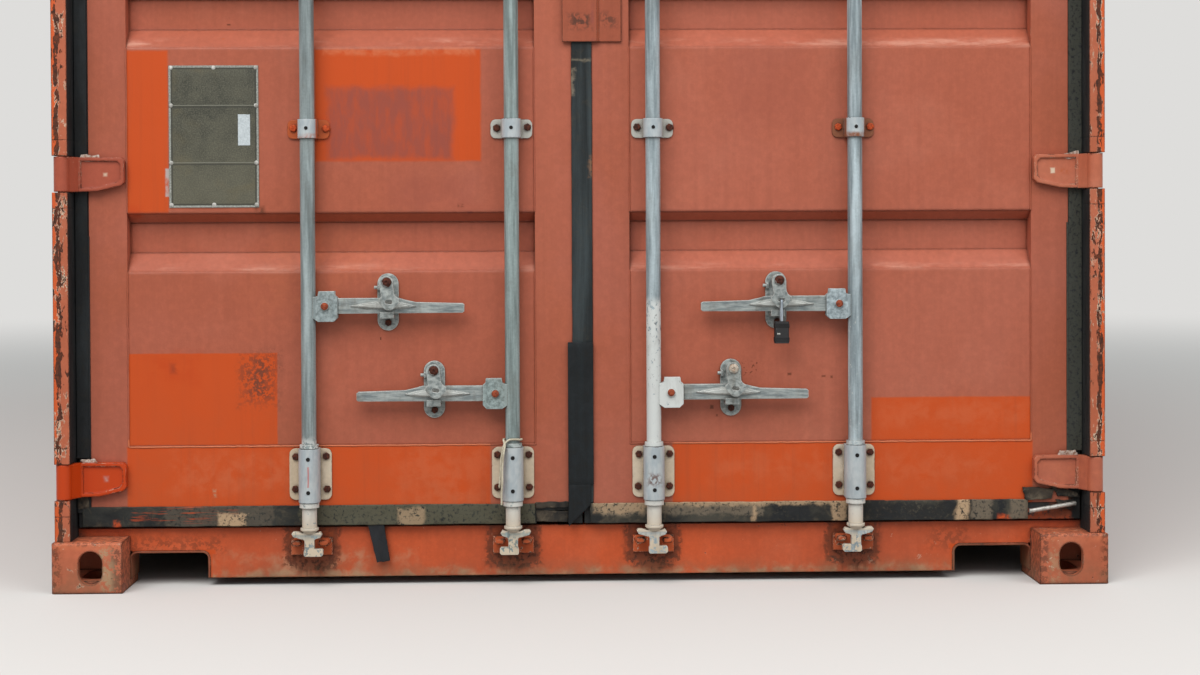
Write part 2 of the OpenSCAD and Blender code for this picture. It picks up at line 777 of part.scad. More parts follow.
// The leaf's front outline: level above, rising towards its far end below
module hinge_outline(inset) {
    half = hinge_height / 2;
    far = pin_x - leaf_reach;
    polygon([
        [post_in + inset, -half + inset], [post_in + inset, half - inset],
        [far + 7 + inset, half - 1 - inset], [far + inset, half - 9 - inset], [far + inset, -half + 22 + inset],
        [far + 8 + inset, -half + 14 + inset], [far + 62, -half + 2 + inset]
    ]);
}

module hinges() color(fresh_orange) for (z = hinge_rows) translate([0, 0, z]) hinge_leaf();

// A bearing bracket round the bar at x, with its middle at height z
module bearing_bracket(x, z) {
    translate([x, 0, z]) difference() {
        union() {
            upright(face_y - bracket_plate, bracket_plate) polygon(rounded(bearing_width, bearing_height, 14));
            translate([0, bar_y, -bearing_height / 2 - 2]) cylinder(d = bearing_diameter, h = bearing_height + 4);
            box([-bearing_diameter / 2 + 1, bar_y, -bearing_height / 2 - 2],
                [bearing_diameter / 2 - 1, face_y - bracket_plate + 1, bearing_height / 2 + 2]);
        }
        translate([0, bar_y, -bearing_height])
            cylinder(r = bar_radius + bar_clearance, h = 2 * bearing_height);
    }
}

// A guide strap round the bar at x, with its middle at height z
module guide_strap(x, z) {
    strap_radius = bar_radius + bar_clearance + bracket_plate;
    translate([x, 0, z]) difference() {
        union() {
            upright(face_y - bracket_plate, bracket_plate) polygon(rounded(guide_width, guide_height, 12));
            translate([0, bar_y, -guide_height / 2]) cylinder(r = strap_radius, h = guide_height);
            box([-strap_radius + 1, bar_y, -guide_height / 2],
                [strap_radius - 1, face_y - bracket_plate + 1, guide_height / 2]);
        }
        translate([0, bar_y, -guide_height]) cylinder(r = bar_radius + bar_clearance, h = 2 * guide_height);
    }
}

module bar_brackets() color(cream_white) for (x = [outer_bar_x, inner_bar_x]) {
    both_heights() bearing_bracket(x, door_foot + bearing_middle);
    guide_strap(x, door_foot + guide_lower);
    guide_strap(x, door_foot + guide_upper);
}

// The cam's front outline, its foot towards +X and its lower end at height zero
function cam_outline() = let (neck_top = foot_height + neck_height, top = neck_top + horn_height) [
    [-10, 0], [foot_reach - 4, 0], [foot_reach, 4], [foot_reach, foot_height - 3], [foot_reach - 3, foot_height],
    [neck_half, foot_height], [neck_half, neck_top - 3], [15, neck_top], [short_horn - 4, neck_top + 3],
    [short_horn, neck_top + 9], [short_horn - 4, top - 2], [12, top - 3], [8, top], [-8, top], [-14, top - 4],
    [-horn_reach + 11, top - 1], [-horn_reach + 3, top - 1], [-horn_reach, top - 5], [-horn_reach + 4, neck_top + 5],
    [-20, neck_top], [-neck_half - 3, neck_top - 1], [-neck_half, neck_top - 4], [-neck_half, foot_height],
    [-13, foot_height - 4], [-13, 3]
];

// A locking bar with its cams, collars and handle hub. The foot and the handle point towards +X.
module locking_bar(handle_z) {
    bearing_low = door_foot + bearing_middle - bearing_height / 2 - 2;
    bearing_high = bearing_low + bearing_height + 4;
    translate([0, 0, cam_top + 8]) cylinder(r = bar_radius, h = 2 * (door_middle - cam_top - 8));
    both_heights() {
        upright(-cam_thickness / 2, cam_thickness) translate([0, cam_foot]) polygon(cam_outline());
        translate([0, 0, cam_top - 6]) cylinder(r1 = 12, r2 = 21, h = 9);
        translate([0, 0, cam_top + 3]) cylinder(r = 21, h = 5);
        translate([0, 0, bearing_high + 1]) cylinder(r = 21.5, h = 9);
        translate([0, 0, bearing_low - 12]) cylinder(r = 22.5, h = 11);
    }
    for (y = [-hub_outside, hub_inside]) upright(y, hub_plate) translate([0, handle_z]) polygon([
        [12, -hub_height / 2 + 8], [24, -hub_height / 2], [hub_reach - 9, -hub_height / 2],
        [hub_reach, -hub_height / 2 + 9], [hub_reach, hub_height / 2 - 15], [hub_reach - 6, hub_height / 2 - 10],
        [hub_reach - 7, hub_height / 2], [25, hub_height / 2], [23, hub_height / 2 - 11], [12, hub_height / 2 - 13]
    ]);
    box([12, -hub_inside - cut, handle_z - 24], [19.5, hub_inside + cut, handle_z + 20]);
    translate([handle_pivot, -hub_outside - 6, handle_z]) rotate([-90, 0, 0])
        cylinder(d = pivot_diameter, h = 2 * hub_outside + 6);
    translate([handle_pivot, -hub_outside - 6, handle_z]) rotate([-90, 0, 0])
        cylinder(d1 = pivot_diameter + 5, d2 = pivot_diameter + 9, h = 6);
}

module place_bar(x, side) translate([x, bar_y, 0]) mirror([side < 0 ? 1 : 0, 0, 0]) children();

module right_outer_bar() color(galvanised) place_bar(outer_bar_x, -1) locking_bar(outer_handle_z);

module right_inner_bar() color(galvanised) place_bar(inner_bar_x, 1) locking_bar(inner_handle_z);

module left_outer_bar() mirror([1, 0, 0]) right_outer_bar();

module left_inner_bar() mirror([1, 0, 0]) right_inner_bar();

// One step of the handle's boat-shaped rib: its reach each way from the catch, its top and foot, and its rise
module rib(inward, outward, top, foot, rise) {
    upright(-handle_plate / 2 - rise, rise + 1) translate([catch_distance, 0]) polygon([
        [-inward, 0.5], [-inward * 0.66, top * 0.62], [-inward * 0.3, top], [outward * 0.3, top],
        [outward * 0.66, top * 0.6], [outward, 0], [outward * 0.6, foot * 0.75], [0, foot], [-inward * 0.55, foot * 0.75]
    ]);
}

// A handle on its hub, pointing towards +X from the bar's middle
module handle(handle_z) translate([0, 0, handle_z]) difference() {
    union() {
        upright(-handle_plate / 2, handle_plate) polygon(concat(
            arc([handle_pivot, 1], 16, 110, 250, 6),
            [[handle_pivot + 8, -handle_down], [handle_reach - 4, -handle_down + 1], [handle_reach, -handle_down + 4],
             [handle_reach, 3], [handle_reach - 4, 6], [catch_distance + 66, 9], [catch_distance + 40, 15],
             [catch_distance + 26, handle_up], [handle_pivot + 8, handle_up]]));
        rib(84, 66, 10.5, -6.5, rib_rise - 2.5);
        rib(68, 50, 7.5, -4, rib_rise);
    }
    translate([handle_pivot, -handle_plate, 0]) rotate([-90, 0, 0])
        cylinder(d = pivot_diameter + 2 * pin_clearance, h = 2 * handle_plate);
}

module right_outer_handle() color(galvanised) place_bar(outer_bar_x, -1) handle(outer_handle_z);

module right_inner_handle() color(galvanised) place_bar(inner_bar_x, 1) handle(inner_handle_z);

module left_outer_handle() mirror([1, 0, 0]) right_outer_handle();

module left_inner_handle() mirror([1, 0, 0]) right_inner_handle();

pivot_rise = catch_rise + catch_bolts / 2; // of the latch's pivot above the handle's

// The catch at x for a handle at handle_z: plate, shelf with its lip, stop peg and latch pivot
module catch(x, handle_z) {
    latch_back = end_y + latch_recess + latch_plate;
    shelf_top = -handle_down - keeper_clearance;
    lip_y = end_y + bar_recess - handle_plate / 2 - 7.5;
    translate([x, 0, handle_z]) {
        upright(face_y - catch_plate, catch_plate) translate([0, catch_rise])
            polygon(rounded(catch_width, catch_height, catch_width / 2 - 0.5, 6));
        box([-16, lip_y, shelf_top - 6], [16, face_y - catch_plate + cut, shelf_top]);
        box([-16, lip_y, shelf_top - 6], [16, lip_y + 3, -handle_down + 4]);
        translate([-catch_width / 2 - 7, face_y - 12, catch_rise + 34]) rotate([0, 90, 0]) cylinder(d = 8, h = 14);
        box([-catch_width / 2 + 1, face_y - 17, catch_rise + 28], [-catch_width / 2 + 6, face_y - catch_plate + cut,
            catch_rise + 40]);
        translate([0, latch_back + latch_clearance, pivot_rise]) rotate([-90, 0, 0])
            cylinder(r = 11, h = face_y - latch_back - latch_clearance);
        translate([0, end_y + latch_recess - 5, pivot_rise]) rotate([-90, 0, 0])
            cylinder(r = latch_pin, h = latch_plate + 10);
        translate([0, end_y + latch_recess - 5, pivot_rise]) rotate([-90, 0, 0])
            cylinder(r1 = 8, r2 = 10, h = 5 - latch_clearance);
    }
}

module right_catches() color(galvanised) {
    catch(outer_catch_x, outer_handle_z);
    catch(inner_catch_x, inner_handle_z);
}

module left_catches() color(galvanised) {
    catch(-outer_catch_x, outer_handle_z);
    catch(-inner_catch_x, inner_handle_z);
}

// The swinging latch on its pivot, hanging in front of the handle
module latch(x, handle_z) color(galvanised) translate([x, end_y + latch_recess, handle_z + pivot_rise]) difference() {
    upright(0, latch_plate) polygon(concat(
        arc([0, 0], 16, 190, -10, 8),
        [[18, -24], [21, -30], [30, -37], [30, -46], [16, -60], [10, -63], [2, -63], [-4, -60], [-17, -46], [-18, -38],
         [-11, -31], [-13, -22]]));
    translate([0, -cut, 0]) rotate([-90, 0, 0])
        cylinder(r = latch_pin + latch_clearance, h = latch_plate + 2 * cut);
    translate([latch_lean, -cut, -latch_drop]) rotate([-90, 0, 0]) rotate([0, 0, 8])
        slot_cutter(hole_length, hole_width, latch_plate + 2 * cut);
}

module right_outer_latch() latch(outer_catch_x, outer_handle_z);

module right_inner_latch() latch(inner_catch_x, inner_handle_z);

module left_outer_latch() latch(-outer_catch_x, outer_handle_z);

module left_inner_latch() latch(-inner_catch_x, inner_handle_z);

// The padlock that hangs from the right outer latch's hole, its shackle's legs one behind the other
module padlock() {
    crown = outer_handle_z + pivot_rise - latch_drop - hang;
    half = shackle_spacing / 2;
    bend = 4.5;
    leg = shackle_drop - bend;
    translate([outer_catch_x + latch_lean, end_y + latch_recess + latch_plate / 2, crown]) {
        color("silver") {
            translate([0, -half + bend, 0]) rotate([-90, 0, 0])
                cylinder(d = shackle_diameter, h = shackle_spacing - 2 * bend);
            for (s = [0, 180]) rotate([0, 0, s]) {
                translate([0, half - bend, -bend]) rotate([0, -90, 0]) rotate_extrude(angle = 90)
                    translate([bend, 0]) circle(d = shackle_diameter);
                translate([0, half, -bend - leg]) cylinder(d = shackle_diameter, h = leg);
            }
        }
        color(seal_black) translate([0, 0, -shackle_drop - lock_height + cut]) linear_extrude(lock_height)
            polygon(rounded(lock_width, shackle_spacing + shackle_diameter + 3, 4));
    }
}

// The overlap plate on the right door: flat on its upright, then stepped out over the left door's edge
module overlap_plate() color(salmon) {
    crease = leaf_in + 12;
    edge = overlap_width - overlap_reach;
    z0 = door_foot + overlap_bottom;
    thick = 5;
    translate([0, 0, z0]) linear_extrude(overlap_height) polygon([
        [edge, face_y], [edge, face_y - thick], [crease + 6, face_y - thick], [crease, face_y - 2 * thick - 1],
        [-overlap_reach, face_y - 2 * thick - 1], [-overlap_reach, face_y - thick - 1], [crease, face_y - thick - 1],
        [crease + 6, face_y]
    ]);
}

module data_plate() color(plate_olive) {
    x0 = -leaf_out + hinge_stile + data_from_stile;
    x1 = -outer_bar_x - bearing_width / 2 - data_from_bracket;
    z = door_foot + data_bottom;
    box([x0, face_y - thin_plate, z], [x1, face_y, z + data_height]);
}

module left_door_frame() mirror([1, 0, 0]) door_frame();
module left_door_panel() mirror([1, 0, 0]) door_panel();
// The left seal's lower front lip is torn away beside the meeting edge
module left_door_seal() color(seal_black) difference() {
    mirror([1, 0, 0]) door_seal();
    box([-110, face_y, door_foot - gasket_gap], [-36, face_y + seal_step + seal_lip + 4, door_foot - seal_web]);
}

module left_hinges() mirror([1, 0, 0]) hinges();
module left_bar_brackets() mirror([1, 0, 0]) bar_brackets();

// The tie cord's route from one hanging end, round the left inner bar, to the other end.
// X is from the bar's middle, Y from the bar's middle towards the door, Z from the ground.
cord_diameter = 5;
cord_route = [
    [-31, -27, 232], [-30, -27, 246], [-29, -28, 262], [-28, -28, 278], [-27, -28, 294], [-25, -27, 310],
    [-22, -25, 325], [-17, -22, 336], [-8, -21, 343], [4, -20, 344], [14, -15, 343], [20, -5, 342], [20, 6, 342],
    [13, 16, 342], [2, 21, 342], [-10, 18, 342], [-18, 10, 342], [-21, -3, 342], [-20, -15, 338], [-18, -26, 330],
    [-20, -31, 318], [-22, -32, 304], [-23, -32, 290], [-24, -32, 276], [-24, -32, 262], [-24, -32, 248],
    [-25, -32, 234], [-26, -32, 220], [-26, -32, 206], [-26, -32, 194]
];

function unit(v) = v / norm(v);
function along(p, i) = unit(p[min(i + 1, len(p) - 1)] - p[max(i - 1, 0)]);
function ring(p, i, r, sides) =
    let (t = along(p, i), u = unit(cross(t, [0.5, 0.5, 0.7])), v = cross(t, u))
    [for (k = [0:sides - 1]) p[i] + r * (u * cos(360 * k / sides) + v * sin(360 * k / sides))];

module tie_cord() color(rope_white) {
    sides = 8;
    route = [for (p = cord_route) [-inner_bar_x + p[0], bar_y + p[1], p[2] + door_foot - 181]];
    last = len(route) - 1;
    points = [for (i = [0:last], q = ring(route, i, cord_diameter / 2, sides)) q];
    skin = [for (i = [0:last - 1], k = [0:sides - 1])
        [i * sides + k, i * sides + (k + 1) % sides, (i + 1) * sides + (k + 1) % sides, (i + 1) * sides + k]];
    caps = [[for (k = [sides - 1:-1:0]) k], [for (k = [0:sides - 1]) last * sides + k]];
    polyhedron(points, concat(skin, caps), convexity = 6);
}

module right_door_frame() door_frame();
module right_door_panel() door_panel();
module right_door_seal() door_seal();
module right_hinges() hinges();
module right_bar_brackets() bar_brackets();

bottom_castings();
top_castings();
door_posts();
front_posts();
door_sill();
sill_cap();
sill_linings();
door_header();
side_rails();
front_rails();
side_walls();
front_wall();
roof();
floor();
cross_members();
hinge_lugs();
cam_keepers();
left_door_frame();
left_door_panel();
left_door_seal();
left_hinges();
left_bar_brackets();
left_catches();
data_plate();
tie_cord();
right_door_frame();
right_door_panel();
right_door_seal();
right_hinges();
right_bar_brackets();
right_catches();
overlap_plate();
left_outer_bar();
left_inner_bar();
right_inner_bar();
right_outer_bar();
left_outer_handle();
left_inner_handle();
right_inner_handle();
right_outer_handle();
left_outer_latch();
left_inner_latch();
right_inner_latch();
right_outer_latch();
padlock();
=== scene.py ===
import math
import random

import bpy
from mathutils import Matrix, Vector


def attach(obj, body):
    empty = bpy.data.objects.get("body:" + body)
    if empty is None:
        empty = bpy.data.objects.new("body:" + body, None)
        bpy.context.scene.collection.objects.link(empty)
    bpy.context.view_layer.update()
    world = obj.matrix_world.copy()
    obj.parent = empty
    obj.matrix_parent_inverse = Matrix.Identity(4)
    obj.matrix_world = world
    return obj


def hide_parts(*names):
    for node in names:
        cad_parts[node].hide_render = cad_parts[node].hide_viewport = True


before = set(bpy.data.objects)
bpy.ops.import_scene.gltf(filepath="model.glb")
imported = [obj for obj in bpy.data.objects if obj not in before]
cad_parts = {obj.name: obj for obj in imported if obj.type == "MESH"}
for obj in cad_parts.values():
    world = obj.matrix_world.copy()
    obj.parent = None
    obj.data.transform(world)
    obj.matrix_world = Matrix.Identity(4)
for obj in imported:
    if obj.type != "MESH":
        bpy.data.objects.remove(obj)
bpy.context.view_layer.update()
print("frame loaded")

# Camera
cameraSettings = {
    "place": (-0.0977, -7.529, 0.84),
    "yaw": -1.741, "pitch": -0.83, "roll": -0.258,
    "lens": 58.8, "shift": -0.0707,
}


def addCamera(settings):
    data = bpy.data.cameras.new("camera")
    data.sensor_width = 36
    data.lens = settings["lens"]
    data.shift_y = settings["shift"]
    camera = bpy.data.objects.new("camera", data)
    bpy.context.collection.objects.link(camera)
    turn = (Matrix.Rotation(math.radians(settings["yaw"]), 4, "Z")
            @ Matrix.Rotation(math.radians(90 + settings["pitch"]), 4, "X")
            @ Matrix.Rotation(math.radians(settings["roll"]), 4, "Z"))
    camera.matrix_world = Matrix.Translation(settings["place"]) @ turn
    bpy.context.scene.camera = camera


addCamera(cameraSettings)


# Colours are written as the 0 to 255 numbers of a picture and used as linear light
def paint(red, green, blue):
    def toLinear(value):
        value /= 255
        return value / 12.92 if value <= 0.04045 else ((value + 0.055) / 1.055) ** 2.4
    return (toLinear(red), toLinear(green), toLinear(blue), 1.0)


# Building blocks for materials. They add nodes to the tree that was started last.
current = {"tree": None}


def feed(value, socket):
    if isinstance(value, bpy.types.NodeSocket):
        current["tree"].links.new(value, socket)
    else:
        socket.default_value = value


def put(kind, sockets=None, **settings):
    node = current["tree"].nodes.new("ShaderNode" + kind)
    for name, value in settings.items():
        setattr(node, name, value)
    for key, value in (sockets or {}).items():
        feed(value, node.inputs[key])
    return node


def maths(operation, first, second=0.0, clamp=False):
    return put("Math", {0: first, 1: second}, operation=operation, use_clamp=clamp).outputs[0]


def times(first, *others):
    for other in others:
        first = maths("MULTIPLY", first, other)
    return first


def plus(first, *others):
    for other in others:
        first = maths("ADD", first, other)
    return first


def minus(first, second):
    return maths("SUBTRACT", first, second)


def apart(value, middle):
    return maths("ABSOLUTE", minus(value, middle))


def vectorMaths(operation, first, second=(0, 0, 0)):
    node = put("VectorMath", {0: first, 1: second}, operation=operation)
    return node.outputs["Value" if operation in ("DOT_PRODUCT", "LENGTH") else "Vector"]


def split(vector):
    return put("SeparateXYZ", {0: vector}).outputs


# Turns a value from low to high into 0 to 1, softly
def fade(value, low, high, start=0.0, end=1.0):
    sockets = {"Value": value, "From Min": low, "From Max": high, "To Min": start, "To Max": end}
    return put("MapRange", sockets, interpolation_type="SMOOTHSTEP").outputs["Result"]


# Lays a colour over another where all the masks are white
def cover(under, over, *masks):
    return put("Mix", {0: times(*masks), 6: under, 7: over}, data_type="RGBA").outputs[2]


def shadeBy(colour, value):
    grey = put("CombineXYZ", {0: value, 1: value, 2: value}).outputs[0]
    return put("Mix", {0: 1.0, 6: colour, 7: grey}, data_type="RGBA", blend_type="MULTIPLY").outputs[2]


def mixValue(amount, under, over):
    return put("Mix", {0: amount, 2: under, 3: over}, data_type="FLOAT").outputs[0]


def grain(vector, scale, detail=4.0, rough=0.55, bend=0.0, stretch=None):
    if stretch:
        vector = vectorMaths("MULTIPLY", vector, stretch)
    sockets = {"Vector": vector, "Scale": scale, "Detail": detail, "Roughness": rough, "Distortion": bend}
    return put("TexNoise", sockets).outputs["Fac"]


def startGroup(name, inputs, outputs):
    group = bpy.data.node_groups.new(name, "ShaderNodeTree")
    for label, kind, value in inputs:
        socket = group.interface.new_socket(label, in_out="INPUT", socket_type="NodeSocket" + kind)
        if value is not None:
            socket.default_value = value
    for label, kind in outputs:
        group.interface.new_socket(label, in_out="OUTPUT", socket_type="NodeSocket" + kind)
    current["tree"] = group
    return group, group.nodes.new("NodeGroupInput").outputs, group.nodes.new("NodeGroupOutput").inputs


def use(group, sockets):
    node = current["tree"].nodes.new("ShaderNodeGroup")
    node.node_tree = group
    for key, value in sockets.items():
        feed(value, node.inputs[key])
    return node.outputs


# Worn edges: a mask along edges and a normal that rounds them
edgeGroup, given, result = startGroup(
    "wornEdges", [("Radius", "Float", 0.004)], [("Mask", "Float"), ("Normal", "Vector")])
bevel = put("Bevel", {"Radius": given["Radius"]}, samples=5)
flatness = vectorMaths("DOT_PRODUCT", bevel.outputs[0], put("NewGeometry").outputs["Normal"])
feed(fade(flatness, 0.998, 0.86), result["Mask"])
feed(bevel.outputs[0], result["Normal"])

# Darkening in corners and behind pieces: painted shade from ambient occlusion, broken up in patches like grime
creviceShadeGroup, given, result = startGroup(
    "creviceShadeAndGrime", [("Vector", "Vector", None), ("Reach", "Float", 0.02)], [("Mask", "Float")])
shade = put("AmbientOcclusion", {"Distance": given["Reach"]}, samples=4).outputs["AO"]
patchy = grain(given["Vector"], 55.0, 5, 0.65)
feed(times(fade(shade, 0.8, 0.3), fade(patchy, 0.25, 0.6, 0.45, 1.0)), result["Mask"])

# Chipped paint: where it is gone, and the lip of paint round each chip
chipGroup, given, result = startGroup(
    "chippedPaint", [("Vector", "Vector", None), ("Wear", "Float", 0.0), ("Scale", "Float", 40.0)],
    [("Bare", "Float"), ("Lip", "Float")])
coarse = grain(given["Vector"], given["Scale"], 5, 0.62, 0.6)
fine = grain(given["Vector"], times(given["Scale"], 4.3), 3, 0.6)
field = plus(times(coarse, 0.78), times(fine, 0.22))
field = plus(field, times(given["Wear"], 0.45))
feed(fade(field, 0.765, 0.785), result["Bare"])
feed(maths("SUBTRACT", fade(field, 0.735, 0.75), fade(field, 0.765, 0.785), clamp=True), result["Lip"])

# A painted area with a slightly ragged edge, as wide and high as given
areaGroup, given, result = startGroup(
    "paintedArea",
    [("Vector", "Vector", None), ("Middle", "Vector", None), ("Half size", "Vector", None),
     ("Ragged", "Float", 0.004), ("Soft", "Float", 0.002)], [("Mask", "Float")])
wobble = put("TexNoise", {"Vector": given["Vector"], "Scale": 22.0, "Detail": 5.0, "Roughness": 0.65})
wobble = vectorMaths("SUBTRACT", wobble.outputs["Color"], (0.5, 0.5, 0.5))
wobble = put("VectorMath", {0: wobble, 3: given["Ragged"]}, operation="SCALE").outputs["Vector"]
away = vectorMaths("ADD", vectorMaths("SUBTRACT", given["Vector"], given["Middle"]), wobble)
away = split(vectorMaths("SUBTRACT", vectorMaths("ABSOLUTE", away), given["Half size"]))
outside = maths("DIVIDE", maths("MAXIMUM", away["X"], away["Z"]), given["Soft"])
feed(fade(outside, 1.0, -1.0), result["Mask"])

# Rust round a point, with a halo and stains that run down from it
bloomGroup, given, result = startGroup(
    "rustBloom",
    [("Vector", "Vector", None), ("Middle", "Vector", None), ("Radius", "Float", 0.05)],
    [("Core", "Float"), ("Halo", "Float"), ("Runs", "Float")])
away = vectorMaths("SUBTRACT", given["Vector"], given["Middle"])
flat = vectorMaths("MULTIPLY", away, (1, 0, 1))
reach = maths("DIVIDE", vectorMaths("LENGTH", flat), given["Radius"])
rough = grain(given["Vector"], 28.0, 5, 0.62)
reach = plus(reach, times(minus(rough, 0.5), 1.3))
patches = grain(given["Vector"], 85.0, 5, 0.66)
feed(times(fade(reach, 1.05, 0.75), fade(patches, 0.5, 0.58)), result["Core"])
feed(fade(reach, 1.35, 0.8), result["Halo"])
parts = split(away)
sideways = maths("DIVIDE", maths("ABSOLUTE", parts["X"]), given["Radius"])
below = maths("DIVIDE", parts["Z"], given["Radius"])
runs = times(fade(sideways, 1.0, 0.2), fade(below, -5.0, -0.5))
runs = times(runs, fade(below, 0.2, -0.4))
lines = grain(given["Vector"], 1.0, 4, 0.6, 0.2, (130, 60, 5))
feed(times(runs, fade(lines, 0.45, 0.7)), result["Runs"])

# Dirt splashed up from the ground, and rain streaks down a wall
groundGroup, given, result = startGroup(
    "groundDirt", [("Vector", "Vector", None), ("Height", "Float", 0.3)], [("Mask", "Float")])
height = split(given["Vector"])["Z"]
low = fade(maths("DIVIDE", height, given["Height"]), 1.0, 0.0)
blot = grain(given["Vector"], 14.0, 7, 0.66, 0.3)
feed(maths("MULTIPLY", low, fade(blot, 0.3, 0.72), clamp=True), result["Mask"])

streakGroup, given, result = startGroup(
    "rainStreaks", [("Vector", "Vector", None), ("Width", "Float", 60.0)], [("Mask", "Float")])
thin = vectorMaths("MULTIPLY", given["Vector"], (1.0, 1.0, 0.035))
lines = grain(thin, given["Width"], 5, 0.6, 0.15)
patches = grain(given["Vector"], 2.3, 3, 0.5)
feed(times(fade(lines, 0.46, 0.72), fade(patches, 0.38, 0.66)), result["Mask"])

# Fine scratches, mostly in the direction that the stretch gives
scratchGroup, given, result = startGroup(
    "scratches", [("Vector", "Vector", None), ("Stretch", "Vector", (1, 1, 1)), ("Amount", "Float", 0.5)],
    [("Mask", "Float")])
bent = put("TexNoise", {"Vector": given["Vector"], "Scale": 9.0, "Detail": 3.0}).outputs["Color"]
bent = vectorMaths("MULTIPLY", vectorMaths("SUBTRACT", bent, (0.5, 0.5, 0.5)), (0.06, 0.06, 0.06))
cell = vectorMaths("MULTIPLY", vectorMaths("ADD", given["Vector"], bent), given["Stretch"])
lineMap = put("TexVoronoi", {"Vector": cell, "Scale": 7.0}, feature="DISTANCE_TO_EDGE").outputs["Distance"]
broken = fade(grain(given["Vector"], 31.0, 4, 0.6), minus(0.78, times(given["Amount"], 0.3)), 0.8)
feed(times(fade(lineMap, 0.012, 0.004), broken), result["Mask"])
print("node groups ready")


def newMaterial(name):
    material = bpy.data.materials.new(name)
    material.use_nodes = True
    current["tree"] = material.node_tree
    return material, current["tree"].nodes["Principled BSDF"], put("TexCoord").outputs["Object"]


def finishMaterial(shader, colour, roughness, height, normal=None, bump=0.001):
    feed(colour, shader.inputs["Base Color"])
    feed(roughness, shader.inputs["Roughness"])
    relief = put("Bump", {"Height": height, "Distance": bump})
    if normal is not None:
        feed(normal, relief.inputs["Normal"])
    feed(relief.outputs["Normal"], shader.inputs["Normal"])


colours = {
    "rust": paint(104, 52, 30), "darkRust": paint(58, 36, 28), "flake": paint(214, 190, 164),
    "dirt": paint(116, 94, 70), "chalkAndSheen": paint(222, 172, 150),
    "fresh": paint(196, 76, 24), "freshDeep": paint(188, 62, 12), "ghost": paint(142, 74, 62),
    "rustEar": paint(178, 84, 40), "halo": paint(112, 54, 30), "brownEar": paint(134, 82, 56),
    "greyEar": paint(176, 180, 176),
    "pinkMark": paint(190, 96, 92), "soot": paint(92, 54, 40), "smear": paint(206, 116, 78),
    "beige": paint(178, 150, 118), "paleDirt": paint(176, 146, 112),
}


# A soft band round a value, 1 in its middle and 0 at the given half width
def band(value, middle, half):
    return fade(apart(value, middle), half, half * 0.4)


def areaMask(place, left, right, bottom, top, ragged, soft):
    middle, half = ((left + right) / 2, 0, (bottom + top) / 2), ((right - left) / 2, 9, (top - bottom) / 2)
    sockets = {"Vector": place, "Middle": middle, "Half size": half, "Ragged": ragged, "Soft": soft}
    return use(areaGroup, sockets)["Mask"]


# Finishes that break up an area: the noise, and the range of it that shows
finishes = {
    "streaks": ((1.0, 6, 0.7, 0.3, (46, 20, 13)), (0.3, 0.62, 0.55, 1.0)),
    "cloud": ((30.0, 5, 0.6, 0.3), (0.35, 0.62)),
    "chips": ((85.0, 5, 0.68), (0.46, 0.53)),
    "specks": ((190.0, 3, 0.5), (0.6, 0.66)),
}


